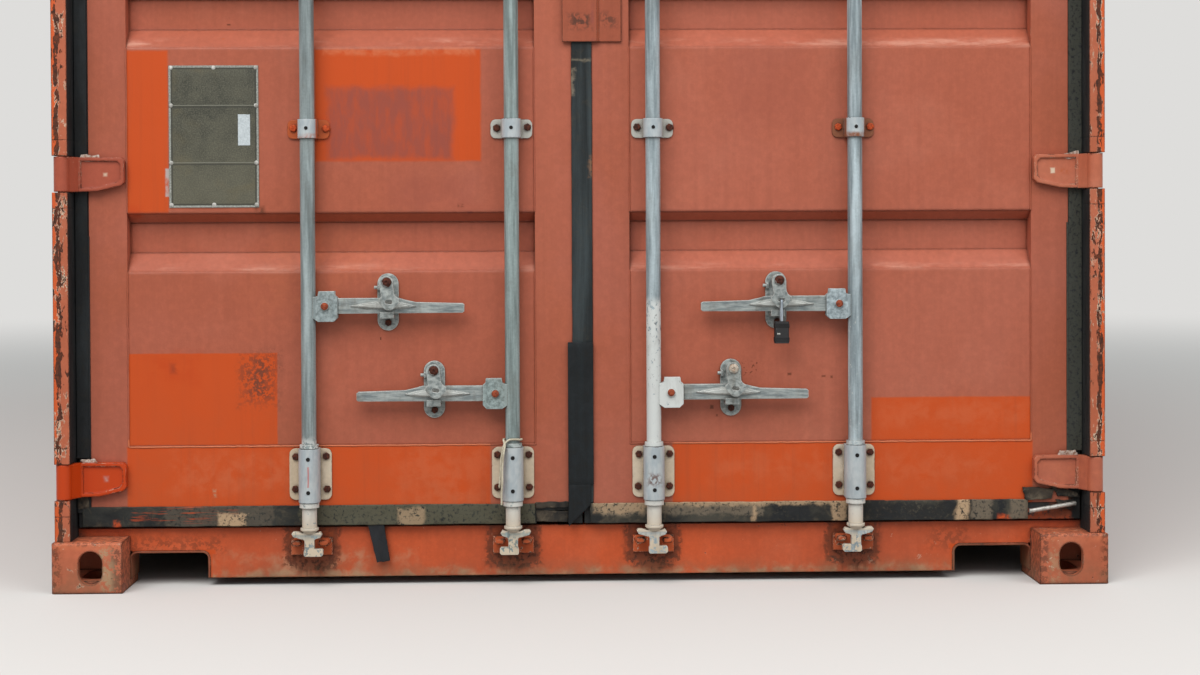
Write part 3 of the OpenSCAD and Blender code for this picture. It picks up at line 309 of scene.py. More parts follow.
# Weathered paint. Each area is (left, right, bottom, top, colour name, ragged, soft, strength) and each bloom
# is (x, z, radius), in metres. An area's colour may end in the name of a finish.
def makePaint(name, settings):
    material, shader, place = newMaterial(name)
    shader.inputs["Specular IOR Level"].default_value = 0.28
    look = {"main": paint(174, 94, 68), "other": paint(169, 87, 60), "pale": paint(190, 112, 88), "wear": 0.05,
            "edgeWear": 0.45, "radius": 0.004, "chipScale": 42.0, "chipStretch": None, "dirtHeight": 0.25,
            "dirt": 0.5, "streaks": 0.15, "areas": [], "blooms": [], "chalkAndSheenLines": [], "flakes": 0.4, "gloss": 0.46,
            "orangePeel": 0.12, "seam": None, "front": None, "grimeAndShade": 0.4, "specks": 0.5,
            "flush": None, "return": None}
    look.update(settings)
    edge = use(edgeGroup, {"Radius": look["radius"]})
    parts = split(place)
    edgeMask, edgeNormal = edge["Mask"], edge["Normal"]
    if look["flush"]:  # no worn edge where two nodes lie flush, at this height
        away = minus(1.0, band(parts["Z"], look["flush"], 0.006))
        edgeMask = times(edgeMask, away)
        plain = put("NewGeometry").outputs["Normal"]
        edgeNormal = put("Mix", {0: away, 4: plain, 5: edgeNormal}, data_type="VECTOR").outputs[1]
    # the faded coat: two tones in broad clouds, a paler bloom over them, and faint brushing down the sheet
    clouds = fade(grain(place, 1.7, 5, 0.55, 0.3), 0.36, 0.64)
    colour = cover(look["main"], look["other"], clouds)
    bloom = fade(grain(place, 5.5, 6, 0.6, 0.2), 0.5, 0.8)
    colour = cover(colour, look["pale"], bloom, 0.4)
    brushed = fade(grain(place, 1.0, 5, 0.6, 0.1, (60, 60, 2.2)), 0.3, 0.7, 0.955, 1.04)
    speck = times(fade(grain(place, 75.0, 5, 0.7), 0.35, 0.75, 0.93, 1.06), brushed)
    colour = shadeBy(colour, speck)
    wear = plus(times(edgeMask, look["edgeWear"]), look["wear"])
    # what stands out towards the front, such as a bracket's tube, has its own tones
    if look["front"]:
        depth, tone, otherTone = look["front"]
        mottle = fade(grain(place, 60.0, 5, 0.65, 0.2, (1, 1, 0.4)), 0.36, 0.64)
        colour = cover(colour, cover(tone, otherTone, mottle), fade(parts["Y"], depth + 0.0012, depth - 0.0012))
    if look["seam"]:
        at, outer, chipping = look["seam"]
        ragged = times(minus(grain(place, 26.0, 6, 0.66, 0.2, (1, 1, 0.35)), 0.5), 0.022)
        across = plus(maths("ABSOLUTE", parts["X"]), ragged)
        colour = cover(colour, outer, fade(across, at - 0.0012, at + 0.0012))
        wear = plus(wear, times(band(across, at, 0.008), chipping))
    # marks lie on the faces that look outwards at the door end, not on the backs of the sheets
    outside = fade(split(put("TexCoord").outputs["Normal"])["Y"], 0.3, 0.05)
    broken = {}  # each finish is made once for all the areas that name it
    for left, right, bottom, top, shade, ragged, soft, strength in look["areas"]:
        mask = times(areaMask(place, left, right, bottom, top, ragged, soft), outside)
        shade, _, finish = shade.partition(" ")
        if finish and finish not in broken:
            noise, shown = finishes[finish]
            broken[finish] = fade(grain(place, *noise), *shown)
        if finish:
            mask = times(mask, broken[finish])
        colour = cover(colour, colours[shade], mask, strength)
    # pale bands along the crests of the panel corrugations: paint rubbed chalky, with a painted highlight of the sky's
    # sheen on the rounded crests
    for bottom, top, strength in look["chalkAndSheenLines"]:
        line = times(fade(parts["Z"], bottom, (bottom + top) / 2), fade(parts["Z"], top, (bottom + top) / 2))
        rubbedAndSheenStreaks = fade(grain(place, 7.0, 6, 0.68, 0.2, (0.8, 1, 5.0)), 0.46, 0.7)
        colour = cover(colour, colours["chalkAndSheen"], line, rubbedAndSheenStreaks, strength)
    # chips to the metal, most of them along edges, with flakes of old undercoat at their lips
    chipPlace = vectorMaths("MULTIPLY", place, look["chipStretch"]) if look["chipStretch"] else place
    chips = use(chipGroup, {"Vector": chipPlace, "Wear": wear, "Scale": look["chipScale"]})
    rustTone = fade(grain(place, 90.0, 5, 0.7), 0.35, 0.65)
    rust = cover(colours["darkRust"], colours["rust"], rustTone)
    bare = chips["Bare"]
    flakeSpots = times(chips["Lip"], fade(grain(place, 17.0, 3), 0.42, 0.6))
    colour = cover(colour, colours["flake"], flakeSpots, look["flakes"])
    rubs = fade(grain(place, 130.0, 4, 0.7, 0.2), 0.7, 0.76)
    colour = cover(colour, rust, rubs, look["specks"])
    for x, z, radius in look["blooms"]:
        rusty = use(bloomGroup, {"Vector": place, "Middle": (x, 0, z), "Radius": radius})
        colour = cover(colour, colours["halo"], rusty["Halo"], 0.85)
        colour = cover(colour, colours["rust"], rusty["Runs"], 0.7)
        bare = maths("MAXIMUM", bare, rusty["Core"])
    colour = cover(colour, rust, bare)
    # rain streaks, ground dirt, and painted shade with grime in corners over everything
    streaks = use(streakGroup, {"Vector": place})["Mask"]
    colour = cover(colour, paint(116, 62, 44), streaks, look["streaks"])
    dirt = use(groundGroup, {"Vector": place, "Height": look["dirtHeight"]})["Mask"]
    dirt = times(dirt, look["dirt"])
    colour = cover(colour, colours["dirt"], dirt)
    # the grime amount also sets how far painted shade from ambient occlusion darkens the corners
    grimeAndShade = times(use(creviceShadeGroup, {"Vector": place, "Reach": 0.022})["Mask"], look["grimeAndShade"])
    colour = cover(colour, paint(70, 42, 32), grimeAndShade)
    roughness = mixValue(bare, look["gloss"], 0.85)
    roughness = mixValue(maths("MAXIMUM", dirt, grimeAndShade), roughness, 0.9)
    roughness = plus(roughness, times(minus(bloom, 0.5), 0.12))
    peel = times(grain(place, 210.0, 2, 0.5), look["orangePeel"])
    dents = times(grain(place, 6.0, 3, 0.5), 1.6)
    pits = times(bare, rustTone, 0.5)
    height = minus(plus(peel, dents), plus(times(bare, 0.5), pits))
    if look["return"]:  # black marks of the rubber on the posts' faces beside the doors
        edgeX = look["return"]
        inside = fade(maths("ABSOLUTE", parts["X"]), edgeX + 0.0006, edgeX + 0.0002)
        inside = times(inside, fade(parts["Y"], -3.0195, -3.018))
        smudge = fade(grain(place, 40.0, 5, 0.6, 0.0, (1, 1, 0.2)), 0.3, 0.7)
        colour = cover(colour, cover(paint(26, 28, 30), paint(46, 48, 48), smudge), inside)
    finishMaterial(shader, colour, roughness, height, edgeNormal, 0.0012)
    return material


# Galvanised steel: grey zinc with its wear, white paint as (bottom, top, cover) left on it, and rust specks
def makeZinc(name, settings):
    material, shader, place = newMaterial(name)
    look = {"dark": paint(114, 126, 130), "light": paint(178, 192, 196), "stretch": (1, 1, 0.06), "scale": 70.0,
            "white": [], "rust": 0.02, "grimeAndShade": 0.3, "metal": 0.2, "gloss": 0.5, "radius": 0.002, "creviceShade": 0.8,
            "pale": paint(216, 217, 210), "edgePale": 0.6, "whiteColour": paint(206, 209, 205), "bar": None,
            "cream": paint(206, 190, 166), "raised": None, "flecks": 0.0}
    look.update(settings)
    edge = use(edgeGroup, {"Radius": look["radius"]})
    parts = split(place)
    brushed = grain(place, look["scale"], 6, 0.62, 0.1, look["stretch"])
    if look["bar"] is not None:  # the plates beside the bar are mottled, not drawn lengthwise
        beside = fade(apart(parts["X"], look["bar"]), 0.0175, 0.019)
        brushed = mixValue(beside, brushed, grain(place, 110.0, 6, 0.66, 0.2))
    colour = cover(look["dark"], look["light"], fade(brushed, 0.3, 0.7))
    wash = fade(grain(place, 3.5, 3, 0.5), 0.35, 0.65, 0.93, 1.06)
    spangle = put("TexVoronoi", {"Vector": place, "Scale": 260.0}).outputs["Color"]
    spangle = fade(split(spangle)["X"], 0.0, 1.0, 0.95, 1.05)
    spangle = times(spangle, wash)
    colour = shadeBy(colour, spangle)
    if look["raised"]:  # raised parts are rubbed pale
        start, full, amount = look["raised"]
        rise = times(fade(parts["Y"], start, full), amount)
        colour = cover(colour, look["pale"], rise)
    height = parts["Z"]
    painted = 0.0
    for bottom, top, coat in look["white"]:
        inside = times(fade(height, bottom - 0.004, bottom + 0.004), fade(height, top + 0.01, top - 0.02))
        flaking = grain(place, 95.0, 5, 0.68, 0.2, (1, 1, 0.8))
        edgeBand = fade(height, top - 0.2, top, 0.0, 0.1)
        flaking = plus(flaking, edgeBand)
        mask = times(inside, fade(flaking, 0.28 + coat * 0.38, 0.26 + coat * 0.38))
        painted = maths("MAXIMUM", mask, painted)
    if look["white"]:
        tone = cover(look["whiteColour"], look["cream"], fade(height, 0.23, 0.11))
        colour = cover(colour, tone, painted)
        if look["flecks"]:
            flecks = fade(grain(place, 150.0, 5, 0.72, 0.3, (1, 1, 0.6)), 0.6, 0.64)
            where = times(fade(height, 0.44, 0.52), fade(height, 0.72, 0.64))
            flecks = times(flecks, where, look["flecks"])
            colour = cover(colour, paint(66, 66, 64), flecks)
    colour = cover(colour, look["pale"], edge["Mask"], look["edgePale"])
    grimeAndShade = fade(grain(place, 24.0, 6, 0.66, 0.4, (1, 1, 0.4)), 0.48, 0.74)
    grimeAndShade = times(grimeAndShade, look["grimeAndShade"])
    # painted shade in crevices from ambient occlusion, broken up in patches like grime
    creviceShade = times(use(creviceShadeGroup, {"Vector": place, "Reach": 0.012})["Mask"], look["creviceShade"])
    colour = cover(colour, paint(98, 90, 76), grimeAndShade)
    colour = cover(colour, paint(62, 52, 42), creviceShade)
    rust = use(chipGroup, {"Vector": place, "Wear": plus(times(edge["Mask"], 0.12), look["rust"]), "Scale": 85.0})
    colour = cover(colour, paint(150, 104, 70), rust["Lip"], 0.5)
    colour = cover(colour, paint(104, 62, 40), rust["Bare"])
    metal = times(minus(1.0, maths("MAXIMUM", rust["Bare"], creviceShade)), look["metal"])
    if look["white"]:
        metal = times(metal, minus(1.0, painted))
    feed(metal, shader.inputs["Metallic"])
    roughness = fade(brushed, 0.3, 0.7, look["gloss"] - 0.08, look["gloss"] + 0.14)
    relief = plus(times(brushed, 0.35), times(grain(place, 380.0, 3, 0.6), 0.25))
    if look["white"]:
        relief = plus(relief, times(painted, 0.5))
    finishMaterial(shader, colour, roughness, relief, edge["Normal"], 0.0005)
    return material


# Old black rubber: faded, dusty in blotches, with worn places given as (left, right, bottom, top, colour,
# strength). A strength over 1 means scratches along the strip, as strong as what is over 1.
def makeRubber(name, settings):
    material, shader, place = newMaterial(name)
    look = {"base": paint(17, 19, 20), "faded": paint(40, 43, 44), "dust": paint(120, 108, 90), "dustAmount": 0.16,
            "areas": [], "stretch": (1, 1, 0.25)}
    look.update(settings)
    shader.inputs["Specular IOR Level"].default_value = 0.3
    edge = use(edgeGroup, {"Radius": 0.002})
    cloud = grain(place, 16.0, 6, 0.62, 0.3, look["stretch"])
    colour = cover(look["base"], look["faded"], fade(cloud, 0.36, 0.68))
    blotch = grain(place, 34.0, 7, 0.7, 0.6)
    dusty = times(fade(blotch, 0.46, 0.72), look["dustAmount"])
    colour = cover(colour, look["dust"], dusty)
    for left, right, bottom, top, shade, strength in look["areas"]:
        mask = areaMask(place, left, right, bottom, top, 0.035, 0.005)
        if strength > 1.0:  # scratches along the strip
            along = fade(grain(place, 1.0, 6, 0.66, 0.2, (14, 1, 320)), 0.52, 0.6)
            mask = times(mask, along, strength - 1.0)
        else:
            crust = fade(grain(place, 120.0, 5, 0.7, 0.3), 0.36, 0.5)
            mask = times(mask, crust, strength)
        colour = cover(colour, shade, mask)
    cracks = use(scratchGroup, {"Vector": place, "Stretch": (3, 1, 1.2), "Amount": 0.8})["Mask"]
    colour = cover(colour, paint(22, 22, 22), cracks, 0.6)
    roughness = fade(blotch, 0.3, 0.7, 0.55, 0.9)
    height = plus(times(blotch, 0.8), times(cloud, 0.8))
    height = minus(height, times(cracks, 0.6))
    finishMaterial(shader, colour, roughness, height, edge["Normal"], 0.0012)
    return material


def dress(nodeName, material):
    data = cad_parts[nodeName].data
    data.materials.clear()
    data.materials.append(material)


# Tie cord, a twisted rope round the left inner bar
cordSettings = {
    # from the bar's middle: X across, Y towards the door, Z from the ground, in millimetres
    "route": [
        (-31, -27, 232), (-30, -27, 246), (-29, -28, 262), (-28, -28, 278), (-27, -28, 294), (-25, -27, 310),
        (-22, -25, 325), (-17, -22, 336), (-8, -21, 343), (4, -20, 344), (14, -15, 343), (20, -5, 342), (20, 6, 342),
        (13, 16, 342), (2, 21, 342), (-10, 18, 342), (-18, 10, 342), (-21, -3, 342), (-20, -15, 338), (-18, -26, 330),
        (-20, -31, 318), (-22, -32, 304), (-23, -32, 290), (-24, -32, 276), (-24, -32, 262), (-24, -32, 248),
        (-25, -32, 234), (-26, -32, 220), (-26, -32, 206), (-26, -32, 194)],
    "barX": -0.164, "barY": -2.986, "diameter": 0.005, "strands": 3, "twist": 0.017, "step": 0.0014, "sides": 18,
}


def smoothRoute(points, step):
    dense = []
    for i in range(len(points) - 1):
        a, b, c, d = (points[max(0, min(len(points) - 1, i + k))] for k in (-1, 0, 1, 2))
        count = max(2, int((c - b).length / step))
        for k in range(count):
            t = k / count
            dense.append(0.5 * ((2 * b) + (c - a) * t + (2 * a - 5 * b + 4 * c - d) * t * t
                                + (3 * b - a - 3 * c + d) * t ** 3))
    return dense + [points[-1]]


def buildRope(name, route, settings):
    radius, sides = settings["diameter"] / 2, settings["sides"]
    side = None
    vertices, faces, along, gone = [], [], [], 0.0
    for i, point in enumerate(route):
        direction = (route[min(i + 1, len(route) - 1)] - route[max(i - 1, 0)]).normalized()
        side = direction.orthogonal() if side is None else side - side.dot(direction) * direction
        side.normalize()
        other = direction.cross(side)
        gone += (point - route[i - 1]).length if i else 0.0
        end = min(gone, 0.0025) / 0.0025 if i < len(route) // 2 else 1.0
        for k in range(sides):
            angle = 2 * math.pi * k / sides
            lobe = abs(math.cos(settings["strands"] / 2 * (angle - 2 * math.pi * gone / settings["twist"])))
            reach = radius * (0.7 + 0.3 * lobe ** 0.7) * (0.5 + 0.5 * end)
            vertices.append(point + reach * (side * math.cos(angle) + other * math.sin(angle)))
            along.append(gone)
    for i in range(len(route) - 1):
        for k in range(sides):
            a, b = i * sides + k, i * sides + (k + 1) % sides
            faces.append((a, b, b + sides, a + sides))
    faces.append(tuple(range(sides - 1, -1, -1)))
    faces.append(tuple(range((len(route) - 1) * sides, len(route) * sides)))
    mesh = bpy.data.meshes.new(name)
    mesh.from_pydata(vertices, [], faces)
    mesh.validate()
    rope = bpy.data.objects.new(name, mesh)
    bpy.context.collection.objects.link(rope)
    mesh.shade_smooth()
    return rope, gone


ropeRoute = smoothRoute([Vector((cordSettings["barX"] + x / 1000, cordSettings["barY"] + y / 1000, z / 1000))
                         for x, y, z in cordSettings["route"]], cordSettings["step"])
rope, ropeLength = buildRope("tieCord", ropeRoute, cordSettings)
material, shader, place = newMaterial("cordFibre")
hairs = grain(place, 900.0, 3, 0.7)
colour = cover(paint(206, 198, 176), paint(158, 146, 120), fade(grain(place, 40.0, 5, 0.65), 0.35, 0.7))
finishMaterial(shader, colour, 0.85, hairs, bump=0.0004)
rope.data.materials.append(material)
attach(rope, "left_door")
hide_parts("tie_cord")
print("tie cord", round(ropeLength, 3))

# Floor, lamps and world
studio = {
    "floorSize": 60, "floorSeen": paint(214, 212, 208), "floorLit": paint(150, 148, 146), "far": paint(222, 221, 219),
    "fadeFrom": 4.0, "fadeTo": 12.0, "sky": (0.93, 0.97, 1.0, 1), "skyStrength": 0.62,
    "lamps": [((-2.5, -8.5, 7.5), 6.0, 620), ((4.0, -7.0, 6.0), 5.0, 180)],
}


def seenRays():
    path = put("LightPath").outputs
    seen = maths("MAXIMUM", path["Is Camera Ray"], path["Is Glossy Ray"])
    return maths("MAXIMUM", seen, path["Is Transmission Ray"])


def addStudio(settings):
    scene = bpy.context.scene
    scene.view_settings.view_transform = "Standard"
    bpy.ops.mesh.primitive_plane_add(size=settings["floorSize"], location=(0, 0, 0))
    floor = bpy.context.object
    floor.name = "studioFloor"
    material, shader, place = newMaterial("studioFloor")
    seen = seenRays()
    distance = vectorMaths("LENGTH", place)
    gone = times(seen, fade(distance, settings["fadeFrom"], settings["fadeTo"]))
    black = (0.0, 0.0, 0.0, 1.0)
    near = cover(settings["floorLit"], settings["floorSeen"], seen)
    feed(cover(near, black, gone), shader.inputs["Base Color"])
    feed(cover(black, settings["far"], gone), shader.inputs["Emission Color"])
    shader.inputs["Emission Strength"].default_value = 1.0
    shader.inputs["Specular IOR Level"].default_value = 0.0
    shader.inputs["Roughness"].default_value = 0.9
    floor.data.materials.append(material)
    world = bpy.data.worlds.new("studio")
    scene.world = world
    world.use_nodes = True
    current["tree"] = world.node_tree
    background = world.node_tree.nodes["Background"]
    seen = seenRays()
    feed(cover(settings["sky"], settings["far"], seen), background.inputs[0])
    feed(mixValue(seen, settings["skyStrength"], 1.0), background.inputs[1])
    for spot, size, power in settings["lamps"]:
        data = bpy.data.lights.new("softLamp", "AREA")
        data.energy, data.size = power, size
        lamp = bpy.data.objects.new("softLamp", data)
        bpy.context.collection.objects.link(lamp)
        aim = Vector((0, -3, 1.0)) - Vector(spot)
        lamp.matrix_world = Matrix.Translation(spot) @ aim.to_track_quat("-Z", "Y").to_matrix().to_4x4()


addStudio(studio)
print("studio ready")


def mirrored(area):
    left, right, *others = area
    return (-right, -left, *others), area


# Paint on the CAD nodes
keeperSpots = [(sign * x, 0.088, 0.056) for sign in (-1, 1) for x in (0.6345, 0.164)]
shell = makePaint("shellPaint", {"wear": 0.1, "streaks": 0.35, "dirtHeight": 0.45, "dirt": 0.6, "chipScale": 30.0})
for nodeName in ("side_walls", "front_wall", "front_posts", "door_header", "front_rails", "top_castings"):
    dress(nodeName, shell)
dress("roof", makePaint("roofPaint", {
    "wear": 0.2, "dirt": 0.0, "streaks": 0.0, "main": paint(166, 96, 78), "other": paint(150, 92, 76), "flakes": 0.2}))
dress("side_rails", makePaint("railPaint", {"wear": 0.22, "edgeWear": 0.55, "dirt": 0.75, "dirtHeight": 0.35}))
dress("cross_members", makePaint("underPaint", {
    "main": paint(96, 62, 52), "other": paint(72, 56, 50), "pale": paint(110, 80, 66), "wear": 0.35, "dirt": 0.7,
    "dirtHeight": 0.5, "gloss": 0.7}))
dress("bottom_castings", makePaint("castingPaint", {
    "main": paint(198, 106, 74), "other": paint(180, 96, 66), "pale": paint(210, 148, 120), "wear": 0.28,
    "edgeWear": 0.75, "radius": 0.007, "dirt": 0.55, "dirtHeight": 0.12, "flakes": 0.9, "gloss": 0.62, "grimeAndShade": 0.9,
    "areas": [(-1.11, -1.07, 0.0, 0.11, "paleDirt chips", 0.05, 0.012, 0.9),
              (1.085, 1.105, 0.0, 0.11, "paleDirt chips", 0.05, 0.012, 0.6),
              (-1.3, 1.3, 0.1, 0.13, "smear cloud", 0.02, 0.006, 0.6),
              *mirrored((1.05, 1.08, 0.0, 0.116, "soot chips", 0.03, 0.01, 0.7)),
              *mirrored((1.03, 1.3, 0.11, 0.125, "soot chips", 0.012, 0.004, 0.6)),
              *mirrored((1.2, 1.225, 0.0, 0.116, "rust chips", 0.03, 0.01, 0.8))]}))
sillLook = {
    "main": paint(200, 86, 44), "other": paint(182, 82, 48), "pale": paint(200, 108, 76), "wear": 0.2,
    "edgeWear": 0.5, "dirt": 0.9, "dirtHeight": 0.07, "blooms": keeperSpots, "flakes": 0.4, "gloss": 0.5,
    "grimeAndShade": 1.0, "specks": 0.9, "flush": 0.118,
    "areas": [(-1.06, -0.4, 0.055, 0.075, "beige cloud", 0.1, 0.02, 0.35),
              (-1.2, 1.2, 0.016, 0.03, "paleDirt cloud", 0.06, 0.012, 0.8),
              (-0.71, -0.52, 0.02, 0.06, "beige cloud", 0.08, 0.03, 0.6),
              (-1.08, -0.84, 0.083, 0.112, "rust chips", 0.05, 0.02, 0.6),
              (0.82, 0.9, 0.07, 0.115, "rust chips", 0.06, 0.02, 0.5),
              (-1.075, -0.86, 0.0745, 0.0845, "fresh", 0.003, 0.002, 0.9),
              (-0.878, -0.866, 0.0, 0.0845, "fresh", 0.003, 0.002, 0.6),
              (0.862, 1.055, 0.0725, 0.0825, "fresh", 0.003, 0.002, 0.7),
              (0.865, 0.878, 0.0, 0.0825, "fresh", 0.003, 0.002, 0.6)]}
for keeper in (-0.6345, -0.164, 0.164, 0.6345):
    sillLook["areas"] += [
        (keeper - 0.066, keeper + 0.066, 0.044, 0.14, "halo chips", 0.03, 0.005, 0.9),
        (keeper - 0.058, keeper + 0.058, 0.052, 0.138, "halo", 0.024, 0.004, 0.75),
        (keeper - 0.05, keeper + 0.05, 0.058, 0.134, "rustEar chips", 0.02, 0.004, 0.7),
        (keeper - 0.054, keeper + 0.054, 0.036, 0.08, "darkRust chips", 0.024, 0.005, 0.8)]
sillPaint = makePaint("sillPaint", sillLook)
for nodeName in ("door_sill", "sill_cap"):
    dress(nodeName, sillPaint)
dress("sill_linings", makePaint("liningPaint", {
    "main": paint(150, 78, 50), "other": paint(126, 70, 48), "wear": 0.3, "dirt": 0.9, "dirtHeight": 0.13,
    "gloss": 0.7, "grimeAndShade": 0.8}))
postLook = {"main": paint(184, 100, 70), "other": paint(176, 94, 64), "pale": paint(200, 128, 100), "wear": 0.44,
            "edgeWear": 0.36, "chipStretch": (1.5, 1.5, 0.55), "chipScale": 56.0, "flakes": 1.0, "dirt": 0.2,
            "seam": (1.1985, paint(204, 88, 40), 0.3), "grimeAndShade": 0.8, "gloss": 0.6, "return": 1.1765}
dress("door_posts", makePaint("postPaint", postLook))
dress("hinge_lugs", makePaint("lugPaint", {**postLook, "wear": 0.36}))
frameLook = {"main": paint(170, 92, 70), "other": paint(167, 88, 62), "pale": paint(184, 104, 84), "wear": 0.03,
             "edgeWear": 0.34, "dirt": 0.25, "dirtHeight": 0.45, "radius": 0.003}
dress("left_door_frame", makePaint("leftFramePaint", {**frameLook, "areas": [
    (-1.059, -0.217, 0.15, 0.3275, "fresh", 0.004, 0.003, 1.0),
    (-0.95, -0.62, 0.225, 0.3, "smear cloud", 0.12, 0.03, 0.3),
    (-0.86, -0.855, 0.212, 0.226, "beige chips", 0.02, 0.006, 0.9),
    (-0.43, -0.22, 0.15, 0.325, "smear cloud", 0.14, 0.05, 0.25),
    (-0.3, -0.02, 0.6, 1.46, "smear", 0.1, 0.1, 0.1)]}))
dress("right_door_frame", makePaint("rightFramePaint", {**frameLook, "main": paint(172, 95, 74), "areas": [
    (0.209, 1.058, 0.15, 0.3275, "fresh", 0.004, 0.003, 1.0),
    (0.3, 0.98, 0.24, 0.3, "smear cloud", 0.12, 0.03, 0.22)]}))
panelLook = {"main": paint(173, 93, 70), "other": paint(169, 89, 64), "wear": 0.02, "edgeWear": 0.06, "radius": 0.01,
             "dirt": 0.2, "dirtHeight": 0.6, "streaks": 0.14, "gloss": 0.42, "grimeAndShade": 0.55,
             "chalkAndSheenLines": [(0.724, 0.756, 0.3), (1.246, 1.282, 0.5), (1.768, 1.8, 0.45)]}
dress("left_door_panel", makePaint("leftPanelPaint", {**panelLook, "areas": [
    (-1.06, -0.959, 0.87, 1.247, "fresh", 0.004, 0.004, 1.0),
    (-1.058, -1.02, 0.86, 0.885, "freshDeep cloud", 0.02, 0.01, 0.5),
    (-0.619, -0.235, 0.989, 1.248, "fresh", 0.006, 0.004, 1.0),
    (-0.6, -0.25, 1.235, 1.252, "smear cloud", 0.02, 0.006, 0.6),
    (-0.589, -0.3, 0.995, 1.16, "ghost streaks", 0.03, 0.012, 0.85),
    (-0.44, -0.24, 0.88, 0.96, "ghost streaks", 0.09, 0.035, 0.35),
    (-1.06, -0.711, 0.331, 0.544, "fresh", 0.003, 0.002, 1.0),
    (-0.785, -0.72, 0.43, 0.536, "soot chips", 0.085, 0.03, 0.85),
    (-0.966, -0.9565, 0.908, 0.974, "greyEar cloud", 0.006, 0.002, 0.8),
    (-0.76, -0.738, 0.868, 0.886, "rust cloud", 0.02, 0.006, 0.9),
    (-0.827, -0.819, 1.3085, 1.312, "rust", 0.004, 0.001, 1.0),
    (-0.835, -0.83, 1.274, 1.276, "rustEar", 0.004, 0.001, 1.0),
    (-0.472, -0.469, 0.573, 0.579, "rust", 0.004, 0.001, 1.0),
    (-0.29, -0.278, 0.883, 0.889, "rust chips", 0.01, 0.003, 0.8),
    (-0.268, -0.256, 0.867, 0.872, "ghost", 0.008, 0.002, 0.9),
    (-0.956, -0.946, 0.5, 0.518, "soot cloud", 0.012, 0.008, 0.8),
    (-1.0, -0.9, 0.48, 0.535, "freshDeep cloud", 0.06, 0.03, 0.5),
    (-0.76, -0.44, 0.62, 0.84, "smear cloud", 0.12, 0.06, 0.16)]}))
dress("right_door_panel", makePaint("rightPanelPaint", {
    **panelLook, "main": paint(176, 98, 76), "other": paint(172, 92, 68), "areas": [
        (0.677, 1.058, 0.33, 0.431, "fresh", 0.004, 0.003, 1.0),
        (0.7, 1.04, 0.36, 0.42, "smear cloud", 0.1, 0.03, 0.25),
        (0.34, 0.52, 1.066, 1.262, "ghost streaks", 0.06, 0.04, 0.22),
        (0.372, 0.418, 0.48, 0.522, "rust specks", 0.02, 0.01, 0.9),
        (0.48, 0.489, 0.485, 0.49, "rust", 0.006, 0.002, 0.9),
        (0.56, 0.569, 0.48, 0.484, "rust", 0.006, 0.002, 0.9),
        (0.581, 0.586, 0.477, 0.482, "rust", 0.006, 0.002, 0.9),
        (0.298, 0.306, 0.406, 0.415, "rust", 0.01, 0.002, 0.9),
        (0.312, 0.316, 0.389, 0.394, "rust", 0.006, 0.002, 0.9),
        (0.56, 0.61, 0.864, 0.871, "rust specks", 0.01, 0.004, 0.9)]}))
dress("overlap_plate", makePaint("overlapPaint", {
    **frameLook, "main": paint(158, 82, 58), "other": paint(152, 78, 54), "pale": paint(182, 112, 86), "wear": 0.14,
    "edgeWear": 0.85, "radius": 0.0045, "chipScale": 60.0, "flakes": 1.0, "grimeAndShade": 0.9, "areas": [
        # the thin darker band beside the plate's crease is painted shade on the bend
        (0.022, 0.029, 1.25, 1.48, "ghost cloud", 0.006, 0.004, 0.8),
        (-0.028, 0.02, 1.296, 1.33, "soot chips", 0.03, 0.01, 1.0),
        (0.045, 0.08, 1.302, 1.33, "soot chips", 0.03, 0.01, 0.8)]}))
dress("left_hinges", makePaint("leftHingePaint", {
    "main": paint(170, 84, 62), "other": paint(162, 78, 56), "wear": 0.1, "edgeWear": 0.42, "radius": 0.005,
    "areas": [(-1.3, -0.95, 0.14, 0.36, "freshDeep", 0.0, 0.002, 1.0),
              (-1.106, -1.098, 0.956, 0.963, "flake", 0.012, 0.003, 0.8),
              (-1.11, -1.101, 0.252, 0.262, "greyEar cloud", 0.018, 0.005, 0.8)],
    "dirt": 0.0, "flakes": 1.0, "grimeAndShade": 0.2}))
dress("right_hinges", makePaint("rightHingePaint", {
    "main": paint(192, 116, 88), "other": paint(184, 102, 74), "pale": paint(200, 130, 104), "wear": 0.1,
    "edgeWear": 0.4, "radius": 0.005, "areas": [(1.098, 1.108, 0.956, 0.968, "flake", 0.01, 0.002, 1.0),
                                                 (1.122, 1.14, 0.954, 0.964, "rustEar chips", 0.02, 0.008, 0.7),
                                                 (0.9, 1.3, 0.15, 0.36, "ghost cloud", 0.05, 0.02, 0.25)],
    "dirt": 0.0, "flakes": 1.0, "grimeAndShade": 0.2}))
dress("cam_keepers", makePaint("keeperPaint", {
    "main": paint(206, 94, 48), "other": paint(178, 82, 44), "pale": paint(214, 130, 92), "wear": 0.34,
    "edgeWear": 0.3, "radius": 0.006, "gloss": 0.7, "dirt": 0.2, "grimeAndShade": 0.7, "flakes": 1.0}))
print("paint done")

